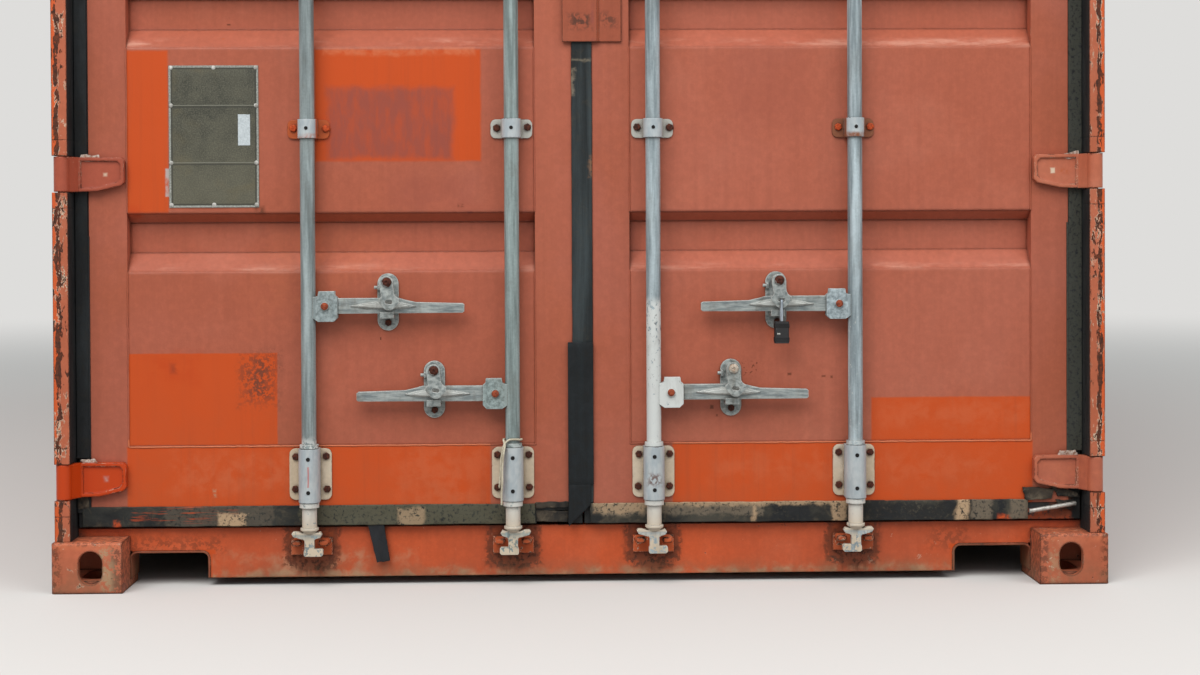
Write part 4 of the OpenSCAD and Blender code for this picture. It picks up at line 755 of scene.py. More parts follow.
# Galvanised gear, brackets, seals and floor
gearZinc = makeZinc("gearZinc", {
    "dark": paint(104, 112, 112), "light": paint(176, 182, 178), "stretch": (0.6, 1, 0.8), "scale": 150.0,
    "edgePale": 0.8, "grimeAndShade": 0.55, "creviceShade": 1.0, "radius": 0.0032})
handleZinc = makeZinc("handleZinc", {
    "dark": paint(106, 116, 118), "light": paint(172, 178, 174), "stretch": (0.16, 1, 1), "scale": 130.0,
    "edgePale": 0.8, "grimeAndShade": 0.5, "creviceShade": 1.0, "radius": 0.0032, "raised": (-2.9935, -2.9965, 0.55)})
for side in ("left", "right"):
    for place in ("outer", "inner"):
        dress(f"{side}_{place}_latch", gearZinc)
        dress(f"{side}_{place}_handle", handleZinc)
    dress(f"{side}_catches", gearZinc)
barLooks = {
    "left_outer": {"bar": -0.6345, "white": [(0.125, 0.35, 0.95)], "dark": paint(104, 114, 114),
                   "light": paint(160, 172, 172)},
    "left_inner": {"bar": -0.164, "white": [(0.125, 0.335, 0.9)], "dark": paint(104, 116, 114),
                   "light": paint(162, 178, 176)},
    "right_inner": {"bar": 0.164, "white": [(0.125, 0.668, 1.0)], "light": paint(184, 198, 202), "flecks": 1.0},
    "right_outer": {"bar": 0.6345, "white": [(0.125, 0.335, 0.95), (0.335, 0.786, 0.22)],
                    "light": paint(184, 198, 202)},
}
for tag, look in barLooks.items():
    look["white"] += [(0.0, 0.124, 0.96)]
    dress(f"{tag}_bar", makeZinc(f"{tag}BarZinc", look))
bracketLook = {
    "main": paint(214, 198, 174), "other": paint(204, 184, 156), "pale": paint(226, 222, 212), "wear": 0.1,
    "edgeWear": 0.34, "radius": 0.003, "dirt": 0.2, "dirtHeight": 0.5, "flakes": 0.0, "streaks": 0.1,
    "front": (-2.962, paint(166, 176, 180), paint(186, 192, 192)), "grimeAndShade": 0.85, "specks": 0.4, "gloss": 0.5}
for side, sign, outer in (("left", -1, "rustEar"), ("right", 1, "brownEar")):
    spots = []
    for z in (1.063, 1.681):
        for x, tone, strength in ((sign * 0.6345, outer, 1.0), (sign * 0.164, "greyEar", 0.75)):
            for ear in (-1, 1):
                left, right = sorted((x + ear * 0.0205, x + ear * 0.055))
                spots.append((left, right, z - 0.035, z + 0.035, tone, 0.002, 0.002, strength))
            if tone != "greyEar":
                spots.append((x - 0.024, x + 0.024, z - 0.024, z - 0.012, outer + " cloud", 0.012, 0.004, 1.0))
    if side == "left":
        spots.append((-0.6358, -0.6328, 0.237, 0.284, "pinkMark", 0.004, 0.0015, 0.9))
    else:
        spots.append((0.15, 0.18, 0.236, 0.262, "soot chips", 0.02, 0.008, 0.8))
    dress(f"{side}_bar_brackets", makePaint(f"{side}BracketPaint", {**bracketLook, "areas": spots}))
tones = {"crust": paint(176, 148, 116), "dusty": paint(112, 100, 84), "black": paint(24, 26, 28),
         "orange": paint(190, 76, 30), "green": paint(104, 100, 78)}
dress("left_door_seal", makeRubber("leftSealRubber", {}))
# On the right seal: an orange-brown rust stain, and over part of it a darker brown patch that is painted shade
dress("right_door_seal", makeRubber("rightSealRubber", {"areas": [
    (1.046, 1.15, 0.12, 0.166, paint(142, 64, 34), 0.95), (1.1, 1.15, 0.15, 0.2, paint(92, 52, 34), 0.6)]}))
boardTones = [paint(96, 70, 50), paint(138, 106, 78), paint(84, 62, 46)]
material, shader, place = newMaterial("floorBoards")
across = split(place)
board = times(across["X"], 1 / 0.15)
number = maths("FLOOR", board)
gap = apart(maths("FRACT", board), 0.5)
offset = put("CombineXYZ", {0: across["X"], 1: across["Y"], 2: times(number, 1.37)}).outputs[0]
figure = grain(offset, 30.0, 7, 0.6, 0.5, (1.0, 0.06, 1.0))
tone = grain(offset, 1.0, 2, 0.5, 0.0, (0.3, 0.2, 3.0))
colour = cover(boardTones[0], boardTones[1], fade(figure, 0.35, 0.65))
colour = cover(colour, boardTones[2], fade(tone, 0.3, 0.7, 0.0, 0.5))
scuffs = use(scratchGroup, {"Vector": place, "Stretch": (1, 0.3, 1), "Amount": 1.0})["Mask"]
colour = cover(colour, paint(60, 46, 36), scuffs)
seam = fade(gap, 0.485, 0.492)
colour = cover(colour, paint(30, 24, 20), seam)
finishMaterial(shader, colour, 0.7, minus(times(figure, 0.4), seam), bump=0.002)
dress("floor", material)
print("gear done")


# Tools for the pieces
def selectNone():
    bpy.ops.object.select_all(action="DESELECT")


def applyPlace(piece):
    selectNone()
    piece.select_set(True)
    bpy.context.view_layer.objects.active = piece
    bpy.ops.object.transform_apply(location=True, rotation=True, scale=True)


# Selects what a test picks out, and enters edit mode. A face is tested by its normal, a point by its place.
def pickFaces(piece, test):
    bpy.context.view_layer.objects.active = piece
    bpy.ops.object.mode_set(mode="EDIT")
    bpy.ops.mesh.select_mode(type="FACE")
    bpy.ops.mesh.select_all(action="DESELECT")
    bpy.ops.object.mode_set(mode="OBJECT")
    for face in piece.data.polygons:
        face.select = bool(test(face.normal))
    bpy.ops.object.mode_set(mode="EDIT")


def pickFront(piece):
    pickFaces(piece, lambda normal: normal.y < -0.9)


def pickTop(piece):
    pickFaces(piece, lambda normal: normal.z > 0.9)


def pickPoints(piece, test):
    bpy.context.view_layer.objects.active = piece
    bpy.ops.object.mode_set(mode="EDIT")
    bpy.ops.mesh.select_mode(type="VERT")
    bpy.ops.mesh.select_all(action="DESELECT")
    bpy.ops.object.mode_set(mode="OBJECT")
    for point in piece.data.vertices:
        point.select = bool(test(point.co))
    bpy.ops.object.mode_set(mode="EDIT")


def leaveEdit():
    bpy.ops.object.mode_set(mode="OBJECT")


# Adds a modifier with its settings and applies it
def shapeBy(piece, kind, **settings):
    bpy.context.view_layer.objects.active = piece
    modifier = piece.modifiers.new(kind.lower(), kind)
    for key, value in settings.items():
        setattr(modifier, key, value)
    bpy.ops.object.modifier_apply(modifier=modifier.name)


def roundEdges(piece, width, segments=2):
    shapeBy(piece, "BEVEL", width=width, segments=segments, limit_method="ANGLE")


# A block between two corners, cut across at the given number of places along each axis
def addBlock(low, high, cuts=(1, 1, 1)):
    selectNone()
    middle = [(a + b) / 2 for a, b in zip(low, high)]
    bpy.ops.mesh.primitive_cube_add(size=1, location=middle, scale=[b - a for a, b in zip(low, high)])
    piece = bpy.context.object
    applyPlace(piece)
    bpy.ops.object.mode_set(mode="EDIT")
    for axis in range(3):
        for k in range(1, cuts[axis]):
            at = list(middle)
            at[axis] = low[axis] + (high[axis] - low[axis]) * k / cuts[axis]
            bpy.ops.mesh.select_all(action="SELECT")
            bpy.ops.mesh.bisect(plane_co=at, plane_no=[float(axis == n) for n in range(3)])
    leaveEdit()
    return piece


# Moves the points that a test picks out
def movePoints(piece, test, by):
    pickPoints(piece, test)
    if piece.data.total_vert_sel:
        bpy.ops.transform.translate(value=by)
    leaveEdit()


# A plate with four corners given in X and Z, clockwise from the upper left, cut into a net of faces
def addQuad(corners, front, thick, net):
    low = (min(x for x, z in corners), front, min(z for x, z in corners))
    high = (max(x for x, z in corners), front + thick, max(z for x, z in corners))
    piece = addBlock(low, high)
    ends = [(low[0], high[2]), (high[0], high[2]), (high[0], low[2]), (low[0], low[2])]
    groups = [[point.index for point in piece.data.vertices
               if abs(point.co.x - x) < 1e-5 and abs(point.co.z - z) < 1e-5] for x, z in ends]
    for group, start, end in zip(groups, ends, corners):
        pickPoints(piece, lambda co: False)
        leaveEdit()
        for index in group:
            piece.data.vertices[index].select = True
        bpy.ops.object.mode_set(mode="EDIT")
        bpy.ops.transform.translate(value=(end[0] - start[0], 0, end[1] - start[1]))
        leaveEdit()
    bpy.ops.object.mode_set(mode="EDIT")
    bpy.ops.mesh.select_all(action="SELECT")
    bpy.ops.mesh.subdivide(number_cuts=net)
    leaveEdit()
    return piece


cloudSizes = {"fine": 0.006, "small": 0.016, "long": 0.055}
clouds = {}
for name, size in cloudSizes.items():
    clouds[name] = bpy.data.textures.new(name + "Clouds", "CLOUDS")
    clouds[name].noise_scale = size


# Crumples a piece along one axis with clouds of one size
def crumple(piece, size, strength, direction="RGB_TO_XYZ"):
    shapeBy(piece, "DISPLACE", texture=clouds[size], texture_coords="LOCAL", strength=strength, mid_level=0.5,
            direction=direction)


def finishPiece(piece, name, body, material, smooth=35):
    piece.name = name
    piece.data.materials.clear()
    piece.data.materials.append(material)
    selectNone()
    piece.select_set(True)
    bpy.context.view_layer.objects.active = piece
    bpy.ops.object.shade_smooth_by_angle(angle=math.radians(smooth))
    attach(piece, body)
    return piece


def joinPieces(pieces):
    selectNone()
    for piece in pieces:
        piece.select_set(True)
    bpy.context.view_layer.objects.active = pieces[0]
    if len(pieces) > 1:
        bpy.ops.object.join()
    return pieces[0]


# Copies of a shape at (x, y, z, turn) places, joined into one piece
def placeCopies(source, places):
    copies = []
    for x, y, z, turn in places:
        copy = source.copy()
        copy.data = source.data.copy()
        copy.data.transform(Matrix.Translation((x, y, z)) @ Matrix.Rotation(math.radians(turn), 4, "Y"))
        bpy.context.collection.objects.link(copy)
        copies.append(copy)
    return joinPieces(copies)


def makeRusty(name, light, dark, speckle=paint(206, 150, 110), amount=0.5):
    material, shader, place = newMaterial(name)
    shader.inputs["Specular IOR Level"].default_value = 0.3
    mottled = grain(place, 160.0, 5, 0.68, 0.3)
    colour = cover(dark, light, fade(mottled, 0.36, 0.64))
    speckles = fade(grain(place, 420.0, 3, 0.6), 0.58, 0.66)
    colour = cover(colour, speckle, speckles, amount)
    finishMaterial(shader, colour, 0.8, mottled, use(edgeGroup, {"Radius": 0.0012})["Normal"], 0.0008)
    return material


# Door seals, the lips that show in front
sealSettings = {
    "sides": [  # name, body, left, right, bottom, top
        ("leftSideStrip", "left_door", -1.1745, -1.1455, 0.302, 2.415),
        ("leftSideStripFoot", "left_door", -1.1745, -1.1425, 0.175, 0.212),
        ("leftSidePatch", "left_door", -1.1465, -1.142, 0.302, 0.817),
        ("rightSideStrip", "right_door", 1.1435, 1.175, 0.302, 2.415),
        ("rightSidePatch", "right_door", 1.139, 1.1445, 0.302, 0.84),
        ("middleStrip", "right_door", -0.0242, 0.0236, 0.189, 2.415)],
    "sideFront": -2.9575, "sideBack": -2.9515, "insetSide": 0.0012, "insetBottom": 0.0014, "rise": -0.0012,
    "bottomFront": -2.958, "bottomBack": -2.952, "bottomLow": 0.142, "bottomHigh": 0.1885,
}
sideRubber = makeRubber("sideRubber", {
    "base": paint(14, 16, 18), "faded": paint(34, 38, 40), "dustAmount": 0.08, "areas": [
        (0.9, 1.3, 0.1, 2.5, paint(74, 74, 64), 0.6)]})
middleRubber = makeRubber("middleRubber", {
    "base": paint(20, 26, 28), "faded": paint(52, 60, 62), "dustAmount": 0.12, "stretch": (2, 1, 0.12), "areas": [
        (-0.1, 0.1, 1.2225, 1.2245, paint(140, 128, 108), 0.8), (-0.03, -0.019, 1.14, 1.2, paint(150, 136, 116), 0.6),
        (0.018, 0.03, 0.95, 1.0, paint(140, 100, 70), 0.7)]})
for name, body, left, right, low, high in sealSettings["sides"]:
    strip = addBlock((left, sealSettings["sideFront"], low), (right, sealSettings["sideBack"], high),
                     (3, 1, max(4, int((high - low) / 0.03))))
    pickFront(strip)
    bpy.ops.mesh.inset(thickness=sealSettings["insetSide"], depth=0)
    bpy.ops.transform.translate(value=(0, sealSettings["rise"], 0))
    leaveEdit()
    crumple(strip, "long", 0.0016, "Y")
    crumple(strip, "small", 0.0008, "Y")
    if name == "middleStrip":
        crumple(strip, "long", 0.0028, "X")
    rubber = middleRubber if name.startswith("middle") else sideRubber
    finishPiece(strip, name, body, rubber)

leftBottomRubber = makeRubber("leftBottomRubber", {
    "base": paint(16, 20, 22), "faded": paint(46, 48, 44), "dustAmount": 0.3, "stretch": (0.4, 1, 1), "areas": [
        (-0.66, -0.1, 0.13, 0.2, tones["green"], 0.5), (-0.97, -0.72, 0.13, 0.2, tones["dusty"], 0.35),
        (-1.045, -0.905, 0.154, 0.19, tones["orange"], 1.5), (-0.93, -0.8, 0.148, 0.192, tones["orange"], 1.25),
        (-0.848, -0.782, 0.138, 0.172, tones["crust"], 1.0), (-0.431, -0.37, 0.138, 0.182, tones["crust"], 0.6),
        (-1.088, -1.074, 0.142, 0.156, tones["orange"], 0.9)]})
rightBottomRubber = makeRubber("rightBottomRubber", {
    "base": paint(22, 24, 24), "faded": paint(62, 60, 52), "dustAmount": 0.4, "stretch": (0.4, 1, 1), "areas": [
        (0.04, 0.42, 0.16, 0.195, tones["dusty"], 0.8), (0.02, 0.14, 0.166, 0.195, tones["crust"], 0.7),
        (0.14, 0.62, 0.18, 0.195, tones["crust"], 0.75), (0.395, 0.404, 0.14, 0.195, tones["crust"], 0.9),
        (0.44, 0.53, 0.138, 0.18, tones["black"], 1.0), (0.582, 0.616, 0.138, 0.195, tones["crust"], 0.85),
        (0.68, 0.87, 0.14, 0.182, tones["black"], 0.8), (0.876, 0.906, 0.138, 0.195, tones["crust"], 1.0),
        (0.912, 0.96, 0.138, 0.195, tones["dusty"], 0.9), (0.972, 0.992, 0.15, 0.195, tones["black"], 1.0),
        (0.975, 1.004, 0.144, 0.153, tones["orange"], 1.0), (1.005, 1.05, 0.138, 0.195, tones["dusty"], 0.9)]})


def addBottomStrip(left, right, bumps, rough):
    s = sealSettings
    strip = addBlock((left, s["bottomFront"], s["bottomLow"]), (right, s["bottomBack"], s["bottomHigh"]),
                     (int((right - left) / 0.011), 1, 6))
    pickFront(strip)
    bpy.ops.mesh.inset(thickness=s["insetBottom"], depth=0)
    bpy.ops.transform.translate(value=(0, s["rise"], 0))
    leaveEdit()
    for middle, half, swell in bumps:
        movePoints(strip, lambda co: abs(co.x - middle) < half and co.y < s["bottomBack"] - 0.002, (0, -swell, 0))
    crumple(strip, "long", 0.003)
    crumple(strip, "small", rough)
    crumple(strip, "fine", rough * 0.45)
    return strip


strip = addBottomStrip(-1.1625, -0.1125, [
    (-0.815, 0.02, 0.0022), (-0.815, 0.03, 0.0012), (-0.4, 0.026, 0.0026), (-0.4, 0.034, 0.0012)], 0.0012)
finishPiece(strip, "leftBottomStrip", "left_door", leftBottomRubber)
strip = addBottomStrip(0.016, 1.046, [
    (0.205, 0.19, 0.0016), (0.6, 0.014, 0.002), (0.891, 0.013, 0.003), (0.975, 0.06, 0.0014)], 0.0017)
finishPiece(strip, "rightBottomStrip", "right_door", rightBottomRubber)

# Newer strip down the middle, with a band and a pointed tail
newStrip = {"left": -0.035, "right": 0.024, "low": 0.2336, "high": 0.565, "front": -2.964, "back": -2.957,
            "bandLow": 0.508, "tailTip": (-0.0345, 0.135), "tailRight": (0.0165, 0.185)}
newRubber = makeRubber("newRubber", {"base": paint(9, 14, 17), "faded": paint(20, 29, 33), "dustAmount": 0.05,
                                     "stretch": (2, 1, 0.1)})
s = newStrip
strip = addBlock((s["left"], s["front"], s["low"]), (s["right"], s["back"], s["high"]), (6, 1, 24))
movePoints(strip, lambda co: co.z > s["bandLow"] and co.y < s["back"] - 0.001, (0, -0.0016, 0))
tail = addQuad([(s["left"], s["low"] + 0.001), (s["right"] - 0.006, s["low"] + 0.001), s["tailRight"], s["tailTip"]],
               s["front"] + 0.0006, s["back"] - s["front"] - 0.0006, 8)
strip = joinPieces([strip, tail])
roundEdges(strip, 0.0007)
crumple(strip, "long", 0.0012, "Y")
finishPiece(strip, "newMiddleStrip", "right_door", newRubber)

# Torn bits of rubber: (name, body, corners in X and Z, front, thickness, crumple)
tornBits = [
    ("hangingFlap", "left_door", [(-0.504, 0.146), (-0.466, 0.146), (-0.4521, 0.0575), (-0.482, 0.0535)],
     -2.956, 0.005, 0.003),
    ("tornRetainer", "left_door", [(-0.1105, 0.172), (-0.036, 0.169), (-0.037, 0.144), (-0.109, 0.146)],
     -2.952, 0.0045, 0.0025),
    ("tornLip", "left_door", [(-0.113, 0.19), (-0.034, 0.193), (-0.035, 0.18), (-0.11, 0.177)],
     -2.9575, 0.005, 0.006),
    ("tornRightEnd", "right_door", [(1.034, 0.218), (1.108, 0.213), (1.102, 0.19), (1.04, 0.188)],
     -2.961, 0.006, 0.006),
    ("foldedFlap", "right_door", [(1.1, 0.218), (1.164, 0.204), (1.17, 0.192), (1.118, 0.196)],
     -2.96, 0.005, 0.007),
    ("looseScrap", "right_door", [(1.112, 0.188), (1.156, 0.184), (1.148, 0.164), (1.118, 0.17)],
     -2.959, 0.004, 0.006),
    ("leftLowScrap", "left_door", [(-1.174, 0.218), (-1.148, 0.218), (-1.146, 0.186), (-1.172, 0.185)],
     -2.959, 0.004, 0.004),
]
tornRubber = makeRubber("tornRubber", {"base": paint(20, 20, 20), "faded": paint(62, 54, 44), "dustAmount": 0.6})
flapRubber = makeRubber("flapRubber", {"base": paint(24, 27, 31), "faded": paint(38, 40, 44), "dustAmount": 0.08})
for name, body, corners, front, thick, rough in tornBits:
    bit = addQuad(corners, front, thick, 9)
    roundEdges(bit, 0.001)
    crumple(bit, "small", rough)
    crumple(bit, "fine", rough * 0.4)
    finishPiece(bit, name, body, flapRubber if name == "hangingFlap" else tornRubber)
print("seals done")

# Bolt heads, rivets and grease holes
gearPlaces = {
    "plateY": -2.959, "barX": (0.6345, 0.164), "handleZ": (0.653, 0.449), "bearingZ": (0.262, 2.341),
    "guideZ": (1.063, 1.681), "boltAcross": 0.0365, "boltUp": 0.038, "guideAcross": 0.0375, "pivot": 0.0395,
    "catchX": (0.4525, 0.346), "catchUp": 0.0545, "catchDown": 0.0435, "latchFront": -3.0183, "rivetFront": -3.0048,
    "bearingFront": -3.0105, "guideFront": -3.0085, "holeUp": 0.0385,
}


# Turns what stands up along Z so that it points out of the doors
def layOver(piece):
    piece.rotation_euler = (math.radians(90), 0, 0)
    applyPlace(piece)


# A hexagon bolt head with its washer, standing out towards -Y from the origin
def boltShape(radius, height):
    selectNone()
    bpy.ops.mesh.primitive_cylinder_add(vertices=6, radius=radius, depth=height, location=(0, 0, height / 2))
    head = bpy.context.object
    pickTop(head)
    bpy.ops.mesh.inset(thickness=radius * 0.18, depth=0)
    bpy.ops.transform.translate(value=(0, 0, height * 0.2))
    bpy.ops.mesh.inset(thickness=radius * 0.35, depth=height * 0.05)
    leaveEdit()
    selectNone()
    bpy.ops.mesh.primitive_cylinder_add(vertices=20, radius=radius * 1.16, depth=height * 0.3,
                                        location=(0, 0, height * 0.15))
    washer = bpy.context.object
    pickTop(washer)
    bpy.ops.mesh.bevel(offset=height * 0.1, segments=2)
    leaveEdit()
    head = joinPieces([head, washer])
    layOver(head)
    return head


# A domed rivet head, hammered a little out of round
def rivetShape(radius, height, dimple=0.0):
    selectNone()
    bpy.ops.mesh.primitive_cylinder_add(vertices=20, radius=radius, depth=height * 0.4, location=(0, 0, height * 0.2))
    head = bpy.context.object
    pickTop(head)
    for shrink, rise in ((0.16, 0.26), (0.22, 0.2), (0.24, 0.1)):
        bpy.ops.mesh.inset(thickness=radius * shrink, depth=0)
        bpy.ops.transform.translate(value=(0, 0, height * rise))
    if dimple:
        bpy.ops.mesh.inset(thickness=radius * 0.12, depth=-dimple)
    leaveEdit()
    layOver(head)
    crumple(head, "fine", radius * 0.08)
    return head


def holeShape(radius, depth):
    selectNone()
    bpy.ops.mesh.primitive_cylinder_add(vertices=20, radius=radius, depth=depth, location=(0, 0, depth / 2))
    ring = bpy.context.object
    pickTop(ring)
    bpy.ops.mesh.inset(thickness=radius * 0.16, depth=0)
    bpy.ops.mesh.inset(thickness=radius * 0.06, depth=-depth * 0.12)
    leaveEdit()
    layOver(ring)
    return ring


rustBrown = makeRusty("rustBrown", paint(92, 44, 28), paint(46, 24, 18), paint(112, 66, 46), 0.3)
rustOrange = makeRusty("rustOrange", paint(200, 80, 34), paint(150, 56, 26), paint(214, 136, 90), 0.4)
rivetRust = makeRusty("rivetRust", paint(160, 74, 44), paint(104, 48, 32), paint(190, 116, 82), 0.4)
boltCream = makeRusty("boltCream", paint(206, 198, 182), paint(150, 120, 98), paint(226, 222, 210), 0.5)
# near-black on the grease hole discs stands in for the painted shade inside the holes
holeShadeBlack = makeRusty("holeShadeBlack", paint(24, 22, 22), paint(12, 11, 11), paint(44, 38, 34), 0.3)
g = gearPlaces
bigBolt = boltShape(0.0086, 0.0075)
smallBolt = boltShape(0.009, 0.0075)
hubRivet = rivetShape(0.0086, 0.0042)
pivotRivet = rivetShape(0.0112, 0.0095, 0.0022)
catchBolt = boltShape(0.0082, 0.0075)
grease = holeShape(0.0046, 0.002)
guideGrease = holeShape(0.0042, 0.0021)
turns = random.Random(7)
for side, sign in (("left", -1), ("right", 1)):
    door = f"{side}_door"
    places = [(sign * x + dx, g["plateY"], z + dz, turns.uniform(0, 60)) for x in g["barX"]
              for dx in (-g["boltAcross"], g["boltAcross"]) for dz in (-g["boltUp"], g["boltUp"])
              for z in g["bearingZ"]]
    finishPiece(placeCopies(bigBolt, places), f"{side}BearingBolts", door, rustBrown)
    for tag, barX, rust in (("Outer", g["barX"][0], rustOrange), ("Inner", g["barX"][1], rustBrown)):
        places = [(sign * barX + dx, g["plateY"], z, turns.uniform(0, 60)) for z in g["guideZ"]
                  for dx in (-g["guideAcross"], g["guideAcross"])]
        finishPiece(placeCopies(smallBolt, places), f"{side}{tag}GuideBolts", door, rust)
    places = [(sign * x, g["bearingFront"] + 0.0003, z + dz, 0) for x in g["barX"]
              for dz in (-g["holeUp"], g["holeUp"]) for z in g["bearingZ"]]
    finishPiece(placeCopies(grease, places), f"{side}BearingHoles", door, holeShadeBlack)
    places = [(sign * x, g["guideFront"] + 0.0003, z, 0) for x in g["barX"] for z in g["guideZ"]]
    finishPiece(placeCopies(guideGrease, places), f"{side}GuideHoles", door, holeShadeBlack)
    for tag, barX, catchX, handleZ in zip(("outer", "inner"), g["barX"], g["catchX"], g["handleZ"]):
        toHandle = -sign if tag == "outer" else sign
        rivet = placeCopies(hubRivet, [(sign * barX + toHandle * g["pivot"], g["rivetFront"], handleZ, 0)])
        finishPiece(rivet, f"{side}{tag.title()}HubRivet", f"{side}_{tag}_bar", rivetRust)
        cream = side == "right" and tag == "inner"
        pin = placeCopies(pivotRivet, [(sign * catchX, g["latchFront"], handleZ + g["catchUp"], 40)])
        finishPiece(pin, f"{side}{tag.title()}PivotHead", door, boltCream if cream else rustBrown)
        foot = placeCopies(catchBolt, [(sign * catchX, g["plateY"], handleZ - g["catchDown"], turns.uniform(0, 60))])
        finishPiece(foot, f"{side}{tag.title()}CatchBolt", door, rustBrown)
for source in (bigBolt, smallBolt, hubRivet, pivotRivet, catchBolt, grease, guideGrease):
    bpy.data.objects.remove(source)
print("bolts done")

# Data plate, bare: a raised rim, two dividers, screws and a blank label
plateSettings = {
    "left": -0.957, "right": -0.75, "low": 0.883, "high": 1.212, "back": -2.954, "sheet": -2.9558, "rim": 0.005,
    "dividers": (0.986, 1.119), "screwX": (-0.952, -0.8535, -0.7555), "screwZ": (0.8885, 1.2065),
    "label": ((-0.7975, 1.0265), (-0.7695, 1.0985)),
}
s = plateSettings
plate = addBlock((s["left"], s["sheet"], s["low"]), (s["right"], s["back"], s["high"]), (8, 1, 12))
pickFront(plate)
bpy.ops.mesh.inset(thickness=s["rim"], depth=0)
bpy.ops.transform.translate(value=(0, 0.0006, 0))
bpy.ops.mesh.inset(thickness=0.003, depth=0)
bpy.ops.transform.translate(value=(0, -0.0004, 0))
leaveEdit()
crumple(plate, "long", 0.001, "Y")
parts = [plate]
for z in s["dividers"]:
    rib = addBlock((s["left"] + 0.002, s["sheet"] - 0.0005, z - 0.0011),
                   (s["right"] - 0.002, s["sheet"] + 0.0008, z + 0.0011), (12, 1, 1))
    roundEdges(rib, 0.0004)
    parts.append(rib)
plate = joinPieces(parts)
material, shader, place = newMaterial("dataPlate")
parts = split(place)
half = [(s["right"] - s["left"]) / 2, (s["high"] - s["low"]) / 2]
acrossPlate = minus(half[0], apart(parts["X"], (s["left"] + s["right"]) / 2))
upPlate = minus(half[1], apart(parts["Z"], (s["low"] + s["high"]) / 2))
inward = maths("MINIMUM", acrossPlate, upPlate)
blotch = grain(place, 22.0, 6, 0.66, 0.4)
fleck = grain(place, 340.0, 4, 0.7)
colour = cover(paint(48, 49, 40), paint(74, 73, 60), fade(blotch, 0.32, 0.68))
colour = cover(colour, paint(96, 93, 76), fade(parts["Z"], 1.1, 0.9, 0.0, 0.6))
colour = cover(colour, paint(118, 115, 96), fade(fleck, 0.44, 0.62), 0.4)
bronzed = fade(grain(place, 9.0, 4, 0.6, 0.2), 0.5, 0.7)
colour = cover(colour, paint(104, 92, 62), bronzed, 0.35)
rimMask = fade(inward, 0.0052, 0.0042)
lineMask = times(fade(inward, 0.0045, 0.0055), fade(inward, 0.0095, 0.008))
colour = cover(colour, paint(44, 44, 38), lineMask, 0.7)
rimTone = cover(paint(128, 130, 122), paint(170, 172, 166), fade(fleck, 0.4, 0.6))
colour = cover(colour, rimTone, rimMask, 0.9)
# each divider gets a painted highlight along its top and a painted shadow just below it
for z in s["dividers"]:
    ridgeHighlight = band(parts["Z"], z, 0.0022)
    colour = cover(colour, paint(120, 120, 106), ridgeHighlight, 0.6)
    shadow = band(parts["Z"], z - 0.0035, 0.0022)
    colour = cover(colour, paint(44, 44, 38), shadow, 0.6)
feed(fade(rimMask, 0.0, 1.0, 0.15, 0.55), shader.inputs["Metallic"])
finishMaterial(shader, colour, fade(blotch, 0.3, 0.7, 0.42, 0.66), plus(times(fleck, 0.5), blotch),
               use(edgeGroup, {"Radius": 0.0008})["Normal"], 0.0004)
finishPiece(plate, "dataPlate", "left_door", material)
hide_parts("data_plate")

screwZinc = makeZinc("screwZinc", {
    "dark": paint(140, 138, 130), "light": paint(206, 204, 198), "scale": 200.0, "grimeAndShade": 0.5})
screw = rivetShape(0.005, 0.0024)
places = [(x, s["sheet"] + 0.0002, z, 0) for x in s["screwX"] for z in s["screwZ"]]
places += [(x, s["sheet"] + 0.0002, z, 0) for x in (s["screwX"][0], s["screwX"][2]) for z in s["dividers"]]
finishPiece(placeCopies(screw, places), "plateScrews", "left_door", screwZinc)
bpy.data.objects.remove(screw)
(x0, z0), (x1, z1) = s["label"]
label = addBlock((x0, s["sheet"] - 0.0005, z0), (x1, s["sheet"] + 0.0004, z1), (6, 1, 12))
movePoints(label, lambda co: co.z > z1 - 0.001 and co.x > x1 - 0.006, (0, -0.001, -0.0004))
crumple(label, "long", 0.0005, "Y")
roundEdges(label, 0.0002, 1)
finishPiece(label, "bareLabel", "left_door", makeRusty(
    "labelPaper", paint(200, 208, 210), paint(182, 190, 192), paint(214, 218, 218), 0.5))
print("plate done")

# Padlock: black body and bright shackle on the CAD node, with two raised bands and a small glint
material, shader, place = newMaterial("padlock")
parts = split(place)
scuff = fade(grain(place, 120.0, 5, 0.7), 0.6, 0.72)
body = cover(paint(20, 20, 22), paint(52, 52, 54), scuff)
bright = cover(paint(126, 136, 146), paint(196, 206, 214), fade(grain(place, 90.0, 4, 0.6, 0.0, (1, 1, 0.2)), 0.3, 0.7))
shackleZ = 0.6145
upper = fade(parts["Z"], shackleZ, shackleZ + 0.0005)
feed(times(upper, 0.7), shader.inputs["Metallic"])
finishMaterial(shader, cover(body, bright, upper), fade(upper, 0.0, 1.0, 0.5, 0.34), scuff,
               use(edgeGroup, {"Radius": 0.0016})["Normal"], 0.0003)
dress("padlock", material)
lockSettings = {"x": 0.4585, "front": -3.027, "bands": (0.572, 0.604), "half": 0.0166, "depth": 0.0215,
                "bandHalf": 0.005, "glintStuds": [(0.449, -3.0268, 0.585, 0), (0.4528, -3.0268, 0.585, 0)]}
s = lockSettings
bands = []
for z in s["bands"]:
    middleY = s["front"] + s["depth"] / 2 + 0.0005
    bandPiece = addBlock((s["x"] - s["half"] - 0.0006, middleY - s["depth"] / 2 - 0.001, z - s["bandHalf"]),
                         (s["x"] + s["half"] + 0.0006, middleY + s["depth"] / 2, z + s["bandHalf"]))
    pickFront(bandPiece)
    bpy.ops.mesh.inset(thickness=0.0016, depth=-0.0004)
    leaveEdit()
    roundEdges(bandPiece, 0.0009)
    bands.append(bandPiece)
